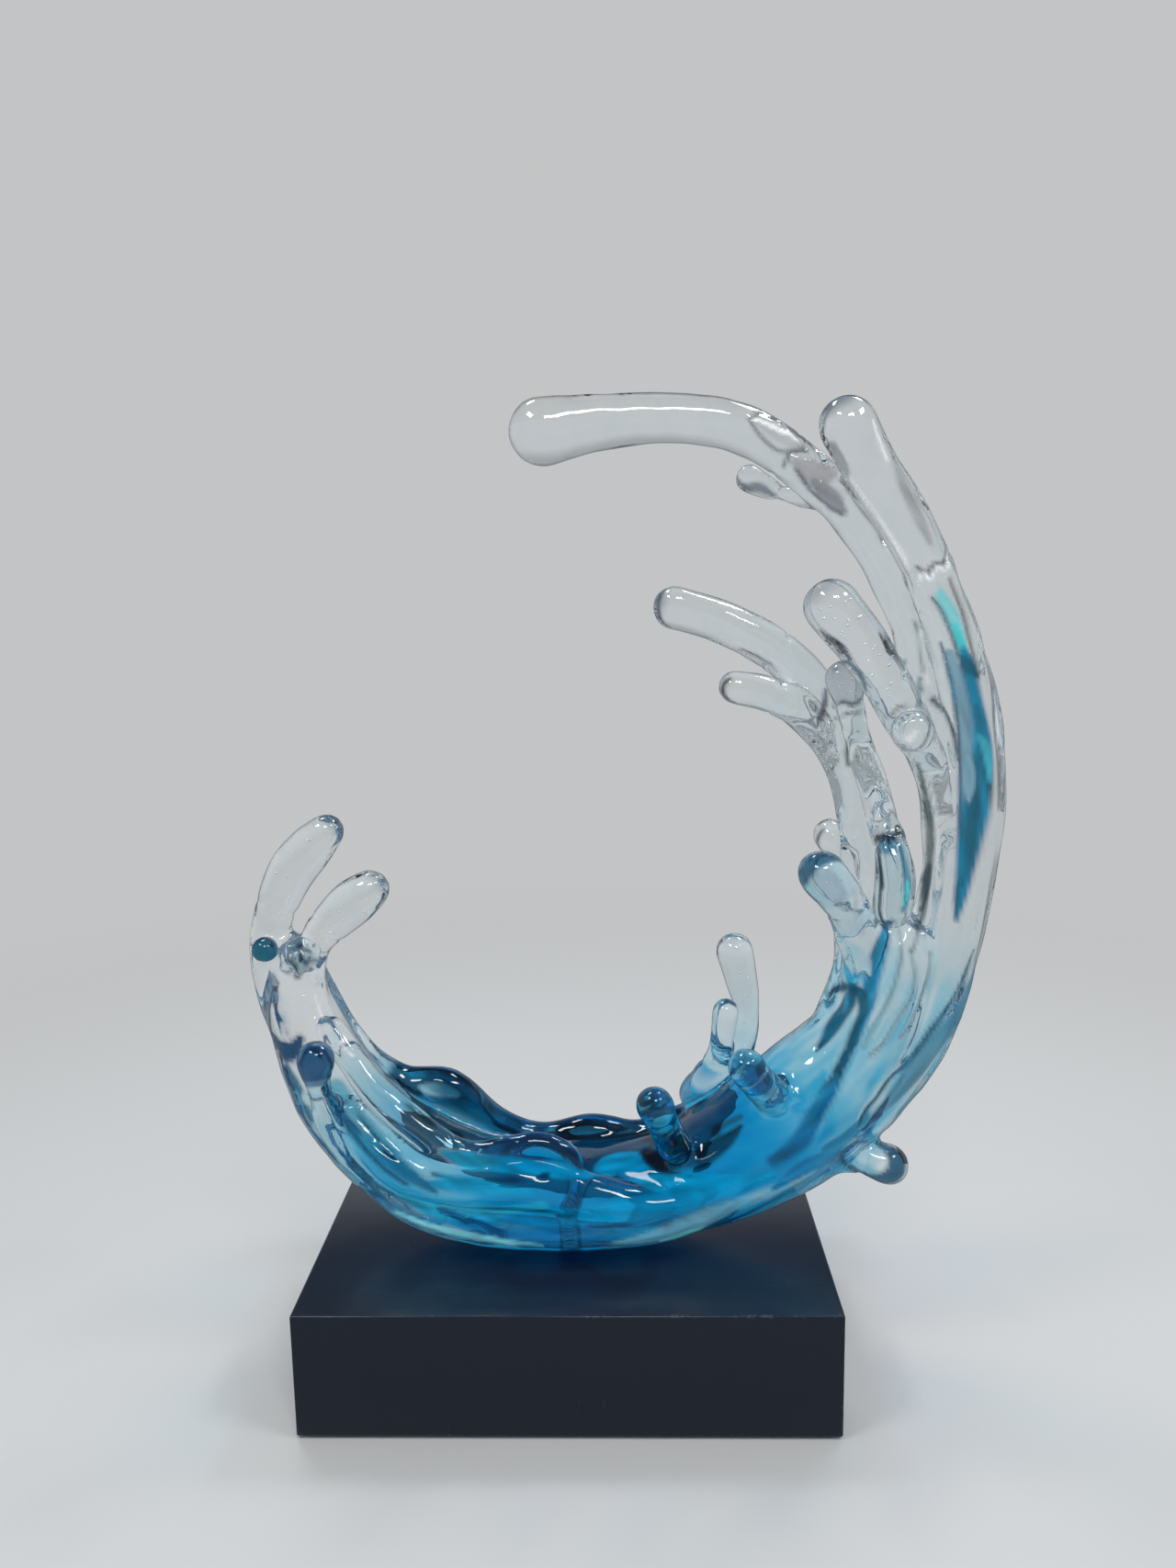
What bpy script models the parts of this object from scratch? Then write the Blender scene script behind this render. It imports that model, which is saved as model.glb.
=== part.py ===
"""Clear resin wave with splash fingers, standing on a lacquered hollow base.

Metres, +Z up. The origin is the middle of the felt under the base, so the part stands on z = 0,
with its front at -Y. The wave is modelled whole, as strands of water that flow into each other,
then sawn at the bond faces where its separate castings are glued together.
"""

import math

import bmesh
import bpy
from mathutils import Matrix, Vector

MM = 0.001

# The base: a mitred box, open below, closed by a screwed bottom plate and a sheet of felt.
BASE_WIDTH = 0.300
BASE_DEPTH = 0.170
BOX_HEIGHT = 0.072
PANEL_THICKNESS = 0.012
FELT_THICKNESS = 0.0015
FELT_INSET = 0.004
BOTTOM_PLATE_THICKNESS = 0.009
BOTTOM_PLATE_RECESS = 0.0003
BLOCK_SIDE = 0.022
EDGE_EASE = 0.0008

# The fixing: a threaded rod glued into the wave and nutted under the top panel.
ROD_DIAMETER = 0.010
ROD_CLEARANCE = 0.0003
ROD_GLUE_SPACE = 0.0015
ROD_DEPTH_IN_WAVE = 0.034
ROD_TAIL = 0.006
ROD_SIDES = 24
WASHER_DIAMETER = 0.040
WASHER_THICKNESS = 0.003
NUT_ACROSS_FLATS = 0.017
NUT_HEIGHT = 0.008

# The countersunk screws that hold the bottom plate to the corner blocks.
SCREW_DIAMETER = 0.004
SCREW_HEAD_DIAMETER = 0.008
SCREW_HEAD_HEIGHT = 0.0025
SCREW_LENGTH = 0.030
SCREW_CLEARANCE = 0.0003
SCREW_SIDES = 12

# Touching pieces keep this gap, which is the glue line in the wave's bonds and the mitres.
GAP = 0.0003
MERGE_DISTANCE = 0.00002

# How finely the wave is cast: the remesh cell, its smoothing passes and the faces that are kept.
CELL = 0.0020
FLOW_PASSES = 14
WAVE_TRIANGLES = 8800
TUBE_SIDES = 20
BOND_SIDES = 20
BOND_MARGIN = 1.3
BOND_ALLOWANCE = 0.0025
SHARP_ANGLE = 50
NEARLY_PARALLEL = 0.97

# Where things stand, worked out from the sizes above.
BOX_BOTTOM = FELT_THICKNESS + GAP
BASE_TOP = BOX_BOTTOM + BOX_HEIGHT
PANEL_UNDERSIDE = BASE_TOP - PANEL_THICKNESS
SEAT_HEIGHT = BASE_TOP + GAP

# Every finger of the wave: points down its middle from tip to root, as x, y, height above the
# base and radius in millimetres, and how many points from the tip its bond face is.
FINGERS = {
    "top_arm": (4.0, [(-7, 8, 474, 19.4), (23, 9, 478, 15.8), (59, 10, 480, 14), (95, 11, 476, 14.3),
                      (125, 13, 462, 13.8), (153, 15, 439, 12.8), (176, 15, 410, 11.8), (192, 14, 381, 11.4),
                      (204, 12, 347, 10.4), (214, 9, 308, 10.5), (221, 5, 270, 11.6)]),
    "outer_finger": (3.0, [(157, -14, 471, 15.8), (169, -15, 449, 15), (185, -15, 425, 14.5),
                           (200, -14, 398, 14.1), (215, -10, 365, 14.2), (227, -5, 329, 15.4),
                           (234, 0, 292, 16.7), (235, 0, 250, 17.4), (229, 0, 207, 17.6),
                           (216, 0, 162, 17.7), (199, 0, 123, 19), (173, 0, 89, 20.8)]),
    "middle_finger": (2.0, [(147, -32, 375, 15.6), (162, -33, 356, 14.3), (177, -31, 334, 13.4),
                            (191, -24, 312, 12.1), (205, -14, 286, 10.3), (213, -7, 256, 9.9),
                            (217, -2, 223, 10.6), (212, 0, 185, 12.8), (199, 0, 146, 15.1)]),
    "middle_drop": (0.4, [(187, -58, 310, 11), (193, -28, 308, 7.6)]),
    "inner_upper_finger": (2.2, [(66, 15, 376, 13.1), (92, 17, 368, 12.6), (118, 20, 355, 13.1),
                                 (141, 21, 336, 13.1), (157, 19, 311, 11.6), (167, 14, 284, 10.6),
                                 (175, 9, 255, 10.6), (180, 5, 222, 12.8)]),
    "inner_lower_finger": (1.0, [(99, 0, 331, 10.4), (120, 2, 326, 10.9), (138, 7, 315, 11.4),
                                 (154, 10, 296, 10.5), (165, 9, 269, 9.5), (173, 7, 239, 10.6)]),
    "ball_tip": (0.55, [(159, -5, 335, 11.5), (165, -4, 313, 7.6), (172, -3, 289, 8.7),
                       (179, -2, 268, 8.9), (185, 0, 242, 10), (187, 2, 212, 11.7), (184, 0, 179, 12.9)]),
    "hanging_drop": (2.2, [(181, -38, 211, 11.2), (182, -38, 227, 11.6), (181, -34, 242, 10.1),
                           (180, -23, 256, 8.2), (179, -9, 268, 7.8)]),
    "small_tip": (0.6, [(160, 34, 238, 10.9), (168, 25, 228, 9.3), (178, 12, 208, 9.7)]),
    "blue_tip": (1.0, [(146, -20, 227, 13.9), (159, -17, 210, 12.9), (169, -13, 187, 12.6),
                       (174, -8, 161, 14.3), (174, -4, 131, 16.2)]),
    "tall_sprig": (2.0, [(102, 28, 168, 12), (106, 28, 150, 10.7), (109, 28, 132, 8.7),
                         (108, 28, 114, 9.1), (101, 28, 92, 11.4), (85, 28, 71, 14.4)]),
    "short_sprig": (1.0, [(93, 10, 133, 7), (90, 11, 119, 5.6), (88, 13, 100, 6.8), (79, 16, 82, 8.5)]),
    "front_bud_left": (0.9, [(50, -54, 106, 11.1), (55, -42, 89, 9.8), (62, -28, 68, 10.6)]),
    "front_bud_right": (0.9, [(101, -46, 124, 11.2), (110, -36, 110, 10.9), (123, -22, 92, 11.7)]),
    "horn": (0.8, [(188, -14, 50, 12.4), (174, -12, 53, 10.3), (159, -8, 53, 10.9), (138, 0, 49, 14.4)]),
    "left_outer_finger": (2.8, [(-140, 0, 250, 10.2), (-149, 0, 240, 12.3), (-162, 0, 225, 12.9),
                                (-171, 0, 205, 11.9), (-176, 0, 183, 10.9), (-174, 0, 155, 11),
                                (-165, 0, 126, 12)]),
    "left_inner_finger": (2.0, [(-114, -4, 216, 9.6), (-126, -4, 207, 11.3), (-139, -4, 196, 10.2),
                                (-148, -4, 183, 9.7), (-153, -2, 161, 10.9), (-152, 0, 132, 14.3)]),
    "left_facing_bud": (0.7, [(-147, -36, 187, 11.3), (-151, -18, 181, 7.9)]),
    "left_bead": (0.5, [(-170, -26, 188, 7.4), (-173, -9, 184, 5)]),
    "left_low_bud": (0.6, [(-138, -48, 131, 11.5), (-138, -42, 110, 7.6), (-133, -35, 85, 9.5),
                           (-122, -30, 62, 8.5)]),
    "arm_drop": (1.6, [(111, 39, 450, 8.9), (120, 38, 445, 7.8), (131, 34, 440, 6), (147, 22, 436, 7)]),
}

# The strands that have no free tip: the wave's inner edge, the two lips of its trough and a
# ridge down the front, as x, y, height and radius in millimetres.
FOLDS = {
    "inner_edge": [(173, 8, 242, 10.6), (172, 13, 213, 10.2), (171, 14, 188, 10.9), (170, 12, 160, 12.6),
                   (162, 8, 129, 15.4)],
    "back_lip": [(-150, 8, 172, 4.4), (-139, 16, 131, 7.9), (-126, 24, 104, 9.1), (-105, 30, 83, 11.6),
                 (-77, 33, 79, 12.2), (-49, 36, 54, 10.5), (-20, 40, 41, 10.6), (13, 40, 46, 11.2),
                 (45, 40, 42, 11.2), (80, 36, 58, 11.7), (122, 30, 87, 12), (152, 20, 112, 12)],
    "front_fold": [(-135, -20, 139, 8.5), (-114, -30, 110, 9.5), (-87, -36, 87, 10), (-61, -38, 71, 8.4),
                   (-38, -38, 73, 7.3), (-17, -37, 76, 7.3), (-1, -37, 71, 6.8), (8, -38, 64, 4.7)],
    "front_ridge": [(-122, -30, 62, 8.5), (-96, -36, 40, 10), (-55, -38, 27, 12), (0, -36, 24, 14),
                    (60, -34, 30, 14), (110, -24, 52, 14)],
    "front_wall": [(-128, -30, 92, 10), (-96, -37, 62, 13), (-61, -39, 54, 14), (-20, -39, 52, 15),
                   (12, -38, 45, 13), (45, -36, 36, 12), (80, -33, 42, 12), (120, -26, 70, 12)],
    "back_wall": [(-130, 24, 92, 10), (-105, 31, 66, 13), (-77, 34, 58, 14), (-49, 37, 42, 12),
                  (-20, 40, 32, 12), (13, 40, 33, 12), (45, 40, 31, 12), (80, 36, 44, 12), (120, 30, 76, 12)],
    "keel": [(173, 0, 89, 20.8), (144, -4, 60, 20), (110, -8, 36, 18), (70, -8, 24, 18), (20, -6, 19, 18),
             (-40, -6, 21, 18), (-90, -4, 38, 18), (-128, 0, 66, 18), (-154, 0, 108, 13), (-166, 0, 146, 10)],
}

# The body of the trough: x, height, half its thickness and half its depth in millimetres.
TROUGH = [(-164, 178, 13, 14), (-158, 142, 19, 24), (-140, 94, 25, 32), (-105, 54, 27, 40),
          (-55, 30, 25, 44), (0, 23.5, 25.5, 45), (55, 31, 26, 44), (100, 52, 33, 40), (143, 88, 36, 36),
          (177, 132, 26, 30), (193, 174, 24, 24)]


def material(name, colour, roughness, metallic=0.0, transmission=0.0):
    """A Principled material."""
    made = bpy.data.materials.new(name)
    made.use_nodes = True
    shader = made.node_tree.nodes["Principled BSDF"]
    shader.inputs["Base Color"].default_value = (*colour, 1.0)
    shader.inputs["Roughness"].default_value = roughness
    shader.inputs["Metallic"].default_value = metallic
    shader.inputs["Transmission Weight"].default_value = transmission
    made.diffuse_color = (*colour, 1.0)
    return made


def new_object(name, mesh, *materials):
    """Links a mesh into the scene as an object."""
    made = bpy.data.objects.new(name, mesh)
    bpy.context.scene.collection.objects.link(made)
    mesh.materials.clear()
    for each in materials:
        mesh.materials.append(each)
    return made


def mesh_from(bm, name):
    """Turns a bmesh into a mesh with its faces pointing out."""
    bmesh.ops.recalc_face_normals(bm, faces=bm.faces)
    mesh = bpy.data.meshes.new(name)
    bm.to_mesh(mesh)
    bm.free()
    return mesh


def evaluated_mesh(obj):
    """A copy of the mesh that an object's modifiers make."""
    graph = bpy.context.evaluated_depsgraph_get()
    return bpy.data.meshes.new_from_object(obj.evaluated_get(graph))


def add_cylinder(bm, radius, length, matrix, sides=32, end_radius=None):
    """A cylinder or cone centred on the matrix, along its Z axis."""
    bmesh.ops.create_cone(bm, cap_ends=True, segments=sides, radius1=radius,
                          radius2=radius if end_radius is None else end_radius,
                          depth=length, matrix=matrix)


def add_box(bm, low, high):
    """A box between two corners."""
    low, high = Vector(low), Vector(high)
    size = high - low
    place = Matrix.Translation((low + high) / 2) @ Matrix.Diagonal((*size, 1.0))
    bmesh.ops.create_cube(bm, size=1.0, matrix=place)


def cutter(name, bm):
    """A guide that Booleans use, which is left out of the part."""
    made = new_object(name, mesh_from(bm, name))
    made.hide_render = True
    made.display_type = "WIRE"
    return made


def cut_with(obj, tool, name):
    """Cuts one object with another."""
    modifier = obj.modifiers.new(name, "BOOLEAN")
    modifier.operation = "DIFFERENCE"
    modifier.solver = "EXACT"
    modifier.object = tool


def ease_edges(obj, width):
    """Breaks an object's sharp edges, as sanding before lacquer does."""
    modifier = obj.modifiers.new("eased edges", "BEVEL")
    modifier.width = width
    modifier.segments = 1
    modifier.limit_method = "ANGLE"
    modifier.angle_limit = math.radians(SHARP_ANGLE)


def spline(values, at):
    """The Catmull-Rom curve through a list of vectors, at a position counted in points."""
    last = len(values) - 1
    i = min(int(at), last - 1)
    t = at - i
    here, after = values[i], values[i + 1]
    before = values[i - 1] if i > 0 else here * 2 - after
    beyond = values[i + 2] if i + 2 <= last else after * 2 - here
    return 0.5 * ((2 * here) + (after - before) * t
                  + (2 * before - 5 * here + 4 * after - beyond) * t ** 2
                  + (3 * here - before - 3 * after + beyond) * t ** 3)


def wave_point(x, y, height):
    """A point of the wave, from its sizes in millimetres above the base."""
    return Vector((x * MM, y * MM, BASE_TOP + height * MM))


def strand_sections(points):
    """Round sections down a strand: middle, half thickness and half depth."""
    keys = [Vector((*wave_point(x, y, height), radius * MM)) for x, y, height, radius in points]
    steps = (len(keys) - 1) * 4
    curve = [spline(keys, i * (len(keys) - 1) / steps) for i in range(steps + 1)]
    return [(each.xyz, each.w, each.w) for each in curve]


def trough_sections():
    """Oval sections down the trough: middle, half thickness and half depth."""
    keys = [Vector((x * MM, BASE_TOP + height * MM, thick * MM, deep * MM))
            for x, height, thick, deep in TROUGH]
    steps = (len(keys) - 1) * 4
    curve = [spline(keys, i * (len(keys) - 1) / steps) for i in range(steps + 1)]
    return [(Vector((each[0], 0.0, each[1])), each[2], each[3]) for each in curve]


def with_round_ends(sections):
    """Adds the shrinking sections that round off both ends of a strand."""
    ends = []
    for order in (sections, sections[::-1]):
        middle, thick, deep = order[0]
        outward = (middle - order[1][0]).normalized()
        rounding = []
        for turn in (75, 50, 25):
            angle = math.radians(turn)
            reach = min(thick, deep) * math.sin(angle)
            rounding.append((middle + outward * reach, thick * math.cos(angle), deep * math.cos(angle)))
        ends.append((rounding, middle + outward * min(thick, deep)))
    (first, tip), (last, root) = ends
    return first + sections + last[::-1], tip, root


def add_strand(bm, sections):
    """Skins a strand: rings across its sections, with a pole at each end."""
    sections, tip, root = with_round_ends(sections)
    middles = [tip] + [section[0] for section in sections] + [root]
    depth_axis = Vector((0, 1, 0))
    rings = []
    for i, (middle, thick, deep) in enumerate(sections, start=1):
        along = (middles[i + 1] - middles[i - 1]).normalized()
        if abs(along.dot(depth_axis)) > NEARLY_PARALLEL:
            depth_axis = Vector((1, 0, 0))
        depth_axis = (depth_axis - along * along.dot(depth_axis)).normalized()
        thickness_axis = along.cross(depth_axis)
        ring = []
        for side in range(TUBE_SIDES):
            angle = 2 * math.pi * side / TUBE_SIDES
            ring.append(bm.verts.new(middle + depth_axis * (deep * math.cos(angle))
                                     + thickness_axis * (thick * math.sin(angle))))
        rings.append(ring)
    for ring, after in zip(rings, rings[1:]):
        for side in range(TUBE_SIDES):
            beside = (side + 1) % TUBE_SIDES
            bm.faces.new((ring[side], ring[beside], after[beside], after[side]))
    for pole, ring in ((tip, rings[0]), (root, rings[-1])):
        centre = bm.verts.new(pole)
        for side in range(TUBE_SIDES):
            bm.faces.new((centre, ring[side], ring[(side + 1) % TUBE_SIDES]))


def flowing_wave(resin):
    """The whole wave as one closed skin: its strands, joined and smoothed where they meet."""
    bm = bmesh.new()
    add_strand(bm, trough_sections())
    for points in FOLDS.values():
        add_strand(bm, strand_sections(points))
    for bond, points in FINGERS.values():
        add_strand(bm, strand_sections(points))
    strands = new_object("wave_strands", mesh_from(bm, "wave_strands"), resin)
    remesh = strands.modifiers.new("joined", "REMESH")
    remesh.mode = "VOXEL"
    remesh.voxel_size = CELL
    flow = strands.modifiers.new("flow", "SMOOTH")
    flow.factor = 0.7
    flow.iterations = FLOW_PASSES
    fine = evaluated_mesh(strands)
    bpy.data.objects.remove(strands)
    wave = new_object("wave_blank", fine, resin)
    thin = wave.modifiers.new("fewer faces", "DECIMATE")
    thin.ratio = WAVE_TRIANGLES / (2 * len(fine.polygons))
    blank = evaluated_mesh(wave)
    bpy.data.objects.remove(wave)
    return blank


def bond_face(points, bond):
    """Middle, direction and radius of a finger's bond face."""
    keys = [Vector((*wave_point(x, y, height), radius * MM)) for x, y, height, radius in points]
    here = spline(keys, bond)
    ahead, behind = spline(keys, bond + 0.05), spline(keys, bond - 0.05)
    return here.xyz, (ahead.xyz - behind.xyz).normalized(), here.w


def wave_cutters():
    """The saw cuts at the bond faces, the flat seat and the drilled hole."""
    bm = bmesh.new()
    for bond, points in FINGERS.values():
        middle, along, radius = bond_face(points, bond)
        turn = Vector((0, 0, 1)).rotation_difference(along).to_matrix().to_4x4()
        add_cylinder(bm, min(radius * BOND_MARGIN, radius + BOND_ALLOWANCE), GAP,
                     Matrix.Translation(middle) @ turn, BOND_SIDES)
    saw = cutter("bond_saw", bm)

    bm = bmesh.new()
    add_box(bm, (-BASE_WIDTH / 2, -BASE_DEPTH / 2, PANEL_UNDERSIDE),
            (BASE_WIDTH / 2, BASE_DEPTH / 2, SEAT_HEIGHT))
    seat = cutter("seat_mill", bm)

    bm = bmesh.new()
    hole_top = BASE_TOP + ROD_DEPTH_IN_WAVE + ROD_GLUE_SPACE
    add_cylinder(bm, ROD_DIAMETER / 2 + ROD_GLUE_SPACE, hole_top - PANEL_UNDERSIDE,
                 Matrix.Translation((0, 0, (hole_top + PANEL_UNDERSIDE) / 2)), ROD_SIDES)
    drill = cutter("rod_drill", bm)
    return saw, seat, drill


def loose_pieces(mesh):
    """Splits a mesh into its separate bodies, each as a set of vertex numbers."""
    parent = list(range(len(mesh.vertices)))

    def find(i):
        while parent[i] != i:
            parent[i] = parent[parent[i]]
            i = parent[i]
        return i

    for edge in mesh.edges:
        a, b = find(edge.vertices[0]), find(edge.vertices[1])
        if a != b:
            parent[a] = b
    groups = {}
    for i in range(len(parent)):
        groups.setdefault(find(i), set()).add(i)
    return list(groups.values())


def piece_mesh(mesh, keep, name):
    """The part of a mesh that has only these vertices."""
    bm = bmesh.new()
    bm.from_mesh(mesh)
    bm.verts.ensure_lookup_table()
    drop = [v for v in bm.verts if v.index not in keep]
    bmesh.ops.delete(bm, geom=drop, context="VERTS")
    bmesh.ops.remove_doubles(bm, verts=bm.verts, dist=MERGE_DISTANCE)
    bmesh.ops.triangulate(bm, faces=bm.faces)
    made = bpy.data.meshes.new(name)
    bm.to_mesh(made)
    bm.free()
    return made


def make_wave():
    """The wave's castings: the body and each finger that is bonded on."""
    resin = material("clear_resin", (0.55, 0.80, 0.92), 0.03, transmission=1.0)
    blue = material("blue_resin", (0.02, 0.35, 0.62), 0.03, transmission=1.0)
    whole = new_object("wave_whole", flowing_wave(resin), resin)
    for tool in wave_cutters():
        cut_with(whole, tool, tool.name)
    sawn = evaluated_mesh(whole)
    bpy.data.objects.remove(whole)

    bodies = sorted(loose_pieces(sawn), key=len, reverse=True)
    owner = {i: n for n, body in enumerate(bodies) for i in body}
    names = {0: "wave_body"}
    for finger, (bond, points) in FINGERS.items():
        tip = wave_point(*points[0][:3])
        nearest = min(range(len(sawn.vertices)), key=lambda i: (sawn.vertices[i].co - tip).length_squared)
        names.setdefault(owner[nearest], finger)
    for n, name in names.items():
        made = new_object(name, piece_mesh(sawn, bodies[n], name), blue if n == 0 else resin)
        made.data.shade_smooth()
        made.data.set_sharp_from_angle(angle=math.radians(SHARP_ANGLE))


def mitred_panel(name, corners_out, corners_in, finish):
    """A panel from its outer and inner rectangles, four corners each, joined by mitred edges."""
    bm = bmesh.new()
    outer = [bm.verts.new(c) for c in corners_out]
    inner = [bm.verts.new(c) for c in corners_in]
    bm.faces.new(outer)
    bm.faces.new(inner[::-1])
    for i in range(4):
        j = (i + 1) % 4
        bm.faces.new((outer[i], inner[i], inner[j], outer[j]))
    made = new_object(name, mesh_from(bm, name), finish)
    ease_edges(made, EDGE_EASE)
    return made


def make_box(finish):
    """The five mitred panels of the base's box. A glue line is left along each mitre."""
    x, y, t = BASE_WIDTH / 2, BASE_DEPTH / 2, PANEL_THICKNESS
    low, high = BOX_BOTTOM, BASE_TOP
    line = GAP * 0.75

    top = [(-1, -1), (1, -1), (1, 1), (-1, 1)]
    panel = mitred_panel("base_top_panel",
                         [(sx * (x - line), sy * (y - line), high) for sx, sy in top],
                         [(sx * (x - t - line), sy * (y - t - line), high - t) for sx, sy in top], finish)
    bm = bmesh.new()
    add_cylinder(bm, ROD_DIAMETER / 2 + ROD_CLEARANCE, t * 2,
                 Matrix.Translation((0, 0, high - t / 2)), ROD_SIDES)
    cut_with(panel, cutter("panel_drill", bm), "rod hole")

    for name, sy in (("base_front_panel", -1), ("base_back_panel", 1)):
        mitred_panel(name,
                     [(-x + line, sy * y, low), (x - line, sy * y, low),
                      (x - line, sy * y, high - line), (-x + line, sy * y, high - line)],
                     [(-x + t + line, sy * (y - t), low), (x - t - line, sy * (y - t), low),
                      (x - t - line, sy * (y - t), high - t - line),
                      (-x + t + line, sy * (y - t), high - t - line)], finish)
    for name, sx in (("base_left_panel", -1), ("base_right_panel", 1)):
        mitred_panel(name,
                     [(sx * x, -y + line, low), (sx * x, y - line, low),
                      (sx * x, y - line, high - line), (sx * x, -y + line, high - line)],
                     [(sx * (x - t), -y + t + line, low), (sx * (x - t), y - t - line, low),
                      (sx * (x - t), y - t - line, high - t - line),
                      (sx * (x - t), -y + t + line, high - t - line)], finish)


def block_places():
    """Middle of each corner block: name, x and y."""
    x = BASE_WIDTH / 2 - PANEL_THICKNESS - GAP - BLOCK_SIDE / 2
    y = BASE_DEPTH / 2 - PANEL_THICKNESS - GAP - BLOCK_SIDE / 2
    return [("front_left", -x, -y), ("front_right", x, -y), ("back_left", -x, y), ("back_right", x, y)]


def screw_mesh(clearance):
    """A countersunk screw, head down and centred on the axis, with clearance round it."""
    head = BOX_BOTTOM + BOTTOM_PLATE_RECESS
    radius = SCREW_DIAMETER / 2 + clearance
    tip = head + SCREW_LENGTH
    outline = [(0.0, head - clearance), (SCREW_HEAD_DIAMETER / 2 + clearance, head - clearance),
               (radius, head + SCREW_HEAD_HEIGHT), (radius, tip - SCREW_DIAMETER), (0.0, tip + clearance)]
    bm = bmesh.new()
    verts = [bm.verts.new((r, 0, z)) for r, z in outline]
    edges = [bm.edges.new(pair) for pair in zip(verts, verts[1:])]
    bmesh.ops.spin(bm, geom=verts + edges, cent=(0, 0, 0), axis=(0, 0, 1), angle=2 * math.pi,
                   steps=SCREW_SIDES)
    bmesh.ops.remove_doubles(bm, verts=bm.verts, dist=MERGE_DISTANCE)
    return mesh_from(bm, "screw")


def make_bottom(board, felt, steel):
    """The corner blocks, the bottom plate with its screws, and the felt under it."""
    plate_low = BOX_BOTTOM + BOTTOM_PLATE_RECESS
    plate_high = plate_low + BOTTOM_PLATE_THICKNESS
    x, y = BASE_WIDTH / 2 - PANEL_THICKNESS - GAP, BASE_DEPTH / 2 - PANEL_THICKNESS - GAP
    bm = bmesh.new()
    add_box(bm, (-x, -y, plate_low), (x, y, plate_high))
    plate = new_object("bottom_plate", mesh_from(bm, "bottom_plate"), board)

    screw, hole = screw_mesh(0.0), screw_mesh(SCREW_CLEARANCE)
    half = BLOCK_SIDE / 2
    for name, x, y in block_places():
        new_object("bottom_screw_" + name, screw, steel).location = (x, y, 0)
        drill = new_object("screw_drill_" + name, hole)
        drill.location = (x, y, 0)
        drill.hide_render = True
        drill.display_type = "WIRE"
        bm = bmesh.new()
        add_box(bm, (x - half, y - half, plate_high + GAP), (x + half, y + half, PANEL_UNDERSIDE - GAP))
        block = new_object("corner_block_" + name, mesh_from(bm, name), board)
        cut_with(block, drill, "pilot hole")
        cut_with(plate, drill, "screw hole " + name)

    bm = bmesh.new()
    x, y = BASE_WIDTH / 2 - FELT_INSET, BASE_DEPTH / 2 - FELT_INSET
    add_box(bm, (-x, -y, 0), (x, y, FELT_THICKNESS))
    new_object("felt_sheet", mesh_from(bm, "felt_sheet"), felt)


def make_fixing(steel):
    """The threaded rod, its washer and its nut, under the top panel."""
    washer_top = PANEL_UNDERSIDE - GAP
    nut_top = washer_top - WASHER_THICKNESS - GAP
    rod_low = nut_top - NUT_HEIGHT - ROD_TAIL
    rod_high = BASE_TOP + ROD_DEPTH_IN_WAVE
    bm = bmesh.new()
    add_cylinder(bm, ROD_DIAMETER / 2, rod_high - rod_low,
                 Matrix.Translation((0, 0, (rod_low + rod_high) / 2)), ROD_SIDES)
    rod = new_object("threaded_rod", mesh_from(bm, "threaded_rod"), steel)
    ease_edges(rod, EDGE_EASE)

    bm = bmesh.new()
    add_cylinder(bm, ROD_DIAMETER / 2 + ROD_CLEARANCE, 2 * (PANEL_UNDERSIDE - rod_low),
                 Matrix.Translation((0, 0, nut_top)), ROD_SIDES)
    bore = cutter("fixing_bore", bm)

    bm = bmesh.new()
    add_cylinder(bm, WASHER_DIAMETER / 2, WASHER_THICKNESS,
                 Matrix.Translation((0, 0, washer_top - WASHER_THICKNESS / 2)), ROD_SIDES)
    washer = new_object("washer", mesh_from(bm, "washer"), steel)
    cut_with(washer, bore, "bore")

    bm = bmesh.new()
    add_cylinder(bm, NUT_ACROSS_FLATS / 2 / math.cos(math.radians(30)), NUT_HEIGHT,
                 Matrix.Translation((0, 0, nut_top - NUT_HEIGHT / 2)), 6)
    nut = new_object("hex_nut", mesh_from(bm, "hex_nut"), steel)
    cut_with(nut, bore, "bore")


def main():
    """Builds the whole part in an empty scene."""
    for obj in list(bpy.data.objects):
        bpy.data.objects.remove(obj)
    lacquer = material("dark_lacquer", (0.012, 0.018, 0.030), 0.28)
    board = material("fibreboard", (0.36, 0.25, 0.15), 0.85)
    felt = material("black_felt", (0.02, 0.02, 0.022), 0.95)
    steel = material("zinc_steel", (0.62, 0.62, 0.60), 0.32, metallic=1.0)
    make_box(lacquer)
    make_bottom(board, felt, steel)
    make_fixing(steel)
    make_wave()


main()
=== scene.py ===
import math
import time

import bmesh
import bpy
import numpy as np
from mathutils import Matrix, Vector
from mathutils.bvhtree import BVHTree


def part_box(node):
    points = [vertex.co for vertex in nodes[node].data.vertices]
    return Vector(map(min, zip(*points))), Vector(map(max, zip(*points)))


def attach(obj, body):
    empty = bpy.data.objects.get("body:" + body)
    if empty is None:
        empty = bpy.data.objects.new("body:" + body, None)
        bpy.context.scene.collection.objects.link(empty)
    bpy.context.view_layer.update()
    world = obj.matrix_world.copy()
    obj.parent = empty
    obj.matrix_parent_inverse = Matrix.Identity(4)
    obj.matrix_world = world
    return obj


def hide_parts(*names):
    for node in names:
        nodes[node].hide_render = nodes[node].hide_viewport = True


# The looks of a clear and blue resin wave on a dark lacquered base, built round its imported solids.
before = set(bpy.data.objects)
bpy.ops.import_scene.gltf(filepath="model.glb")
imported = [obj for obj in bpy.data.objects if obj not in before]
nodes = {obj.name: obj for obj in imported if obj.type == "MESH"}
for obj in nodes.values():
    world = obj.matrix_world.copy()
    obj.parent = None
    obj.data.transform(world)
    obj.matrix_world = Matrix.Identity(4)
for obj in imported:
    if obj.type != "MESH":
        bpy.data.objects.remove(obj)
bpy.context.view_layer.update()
started = time.time()
mm = 0.001


def report(stage):
    print(f"{time.time() - started:6.1f} s  {stage}")


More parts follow.
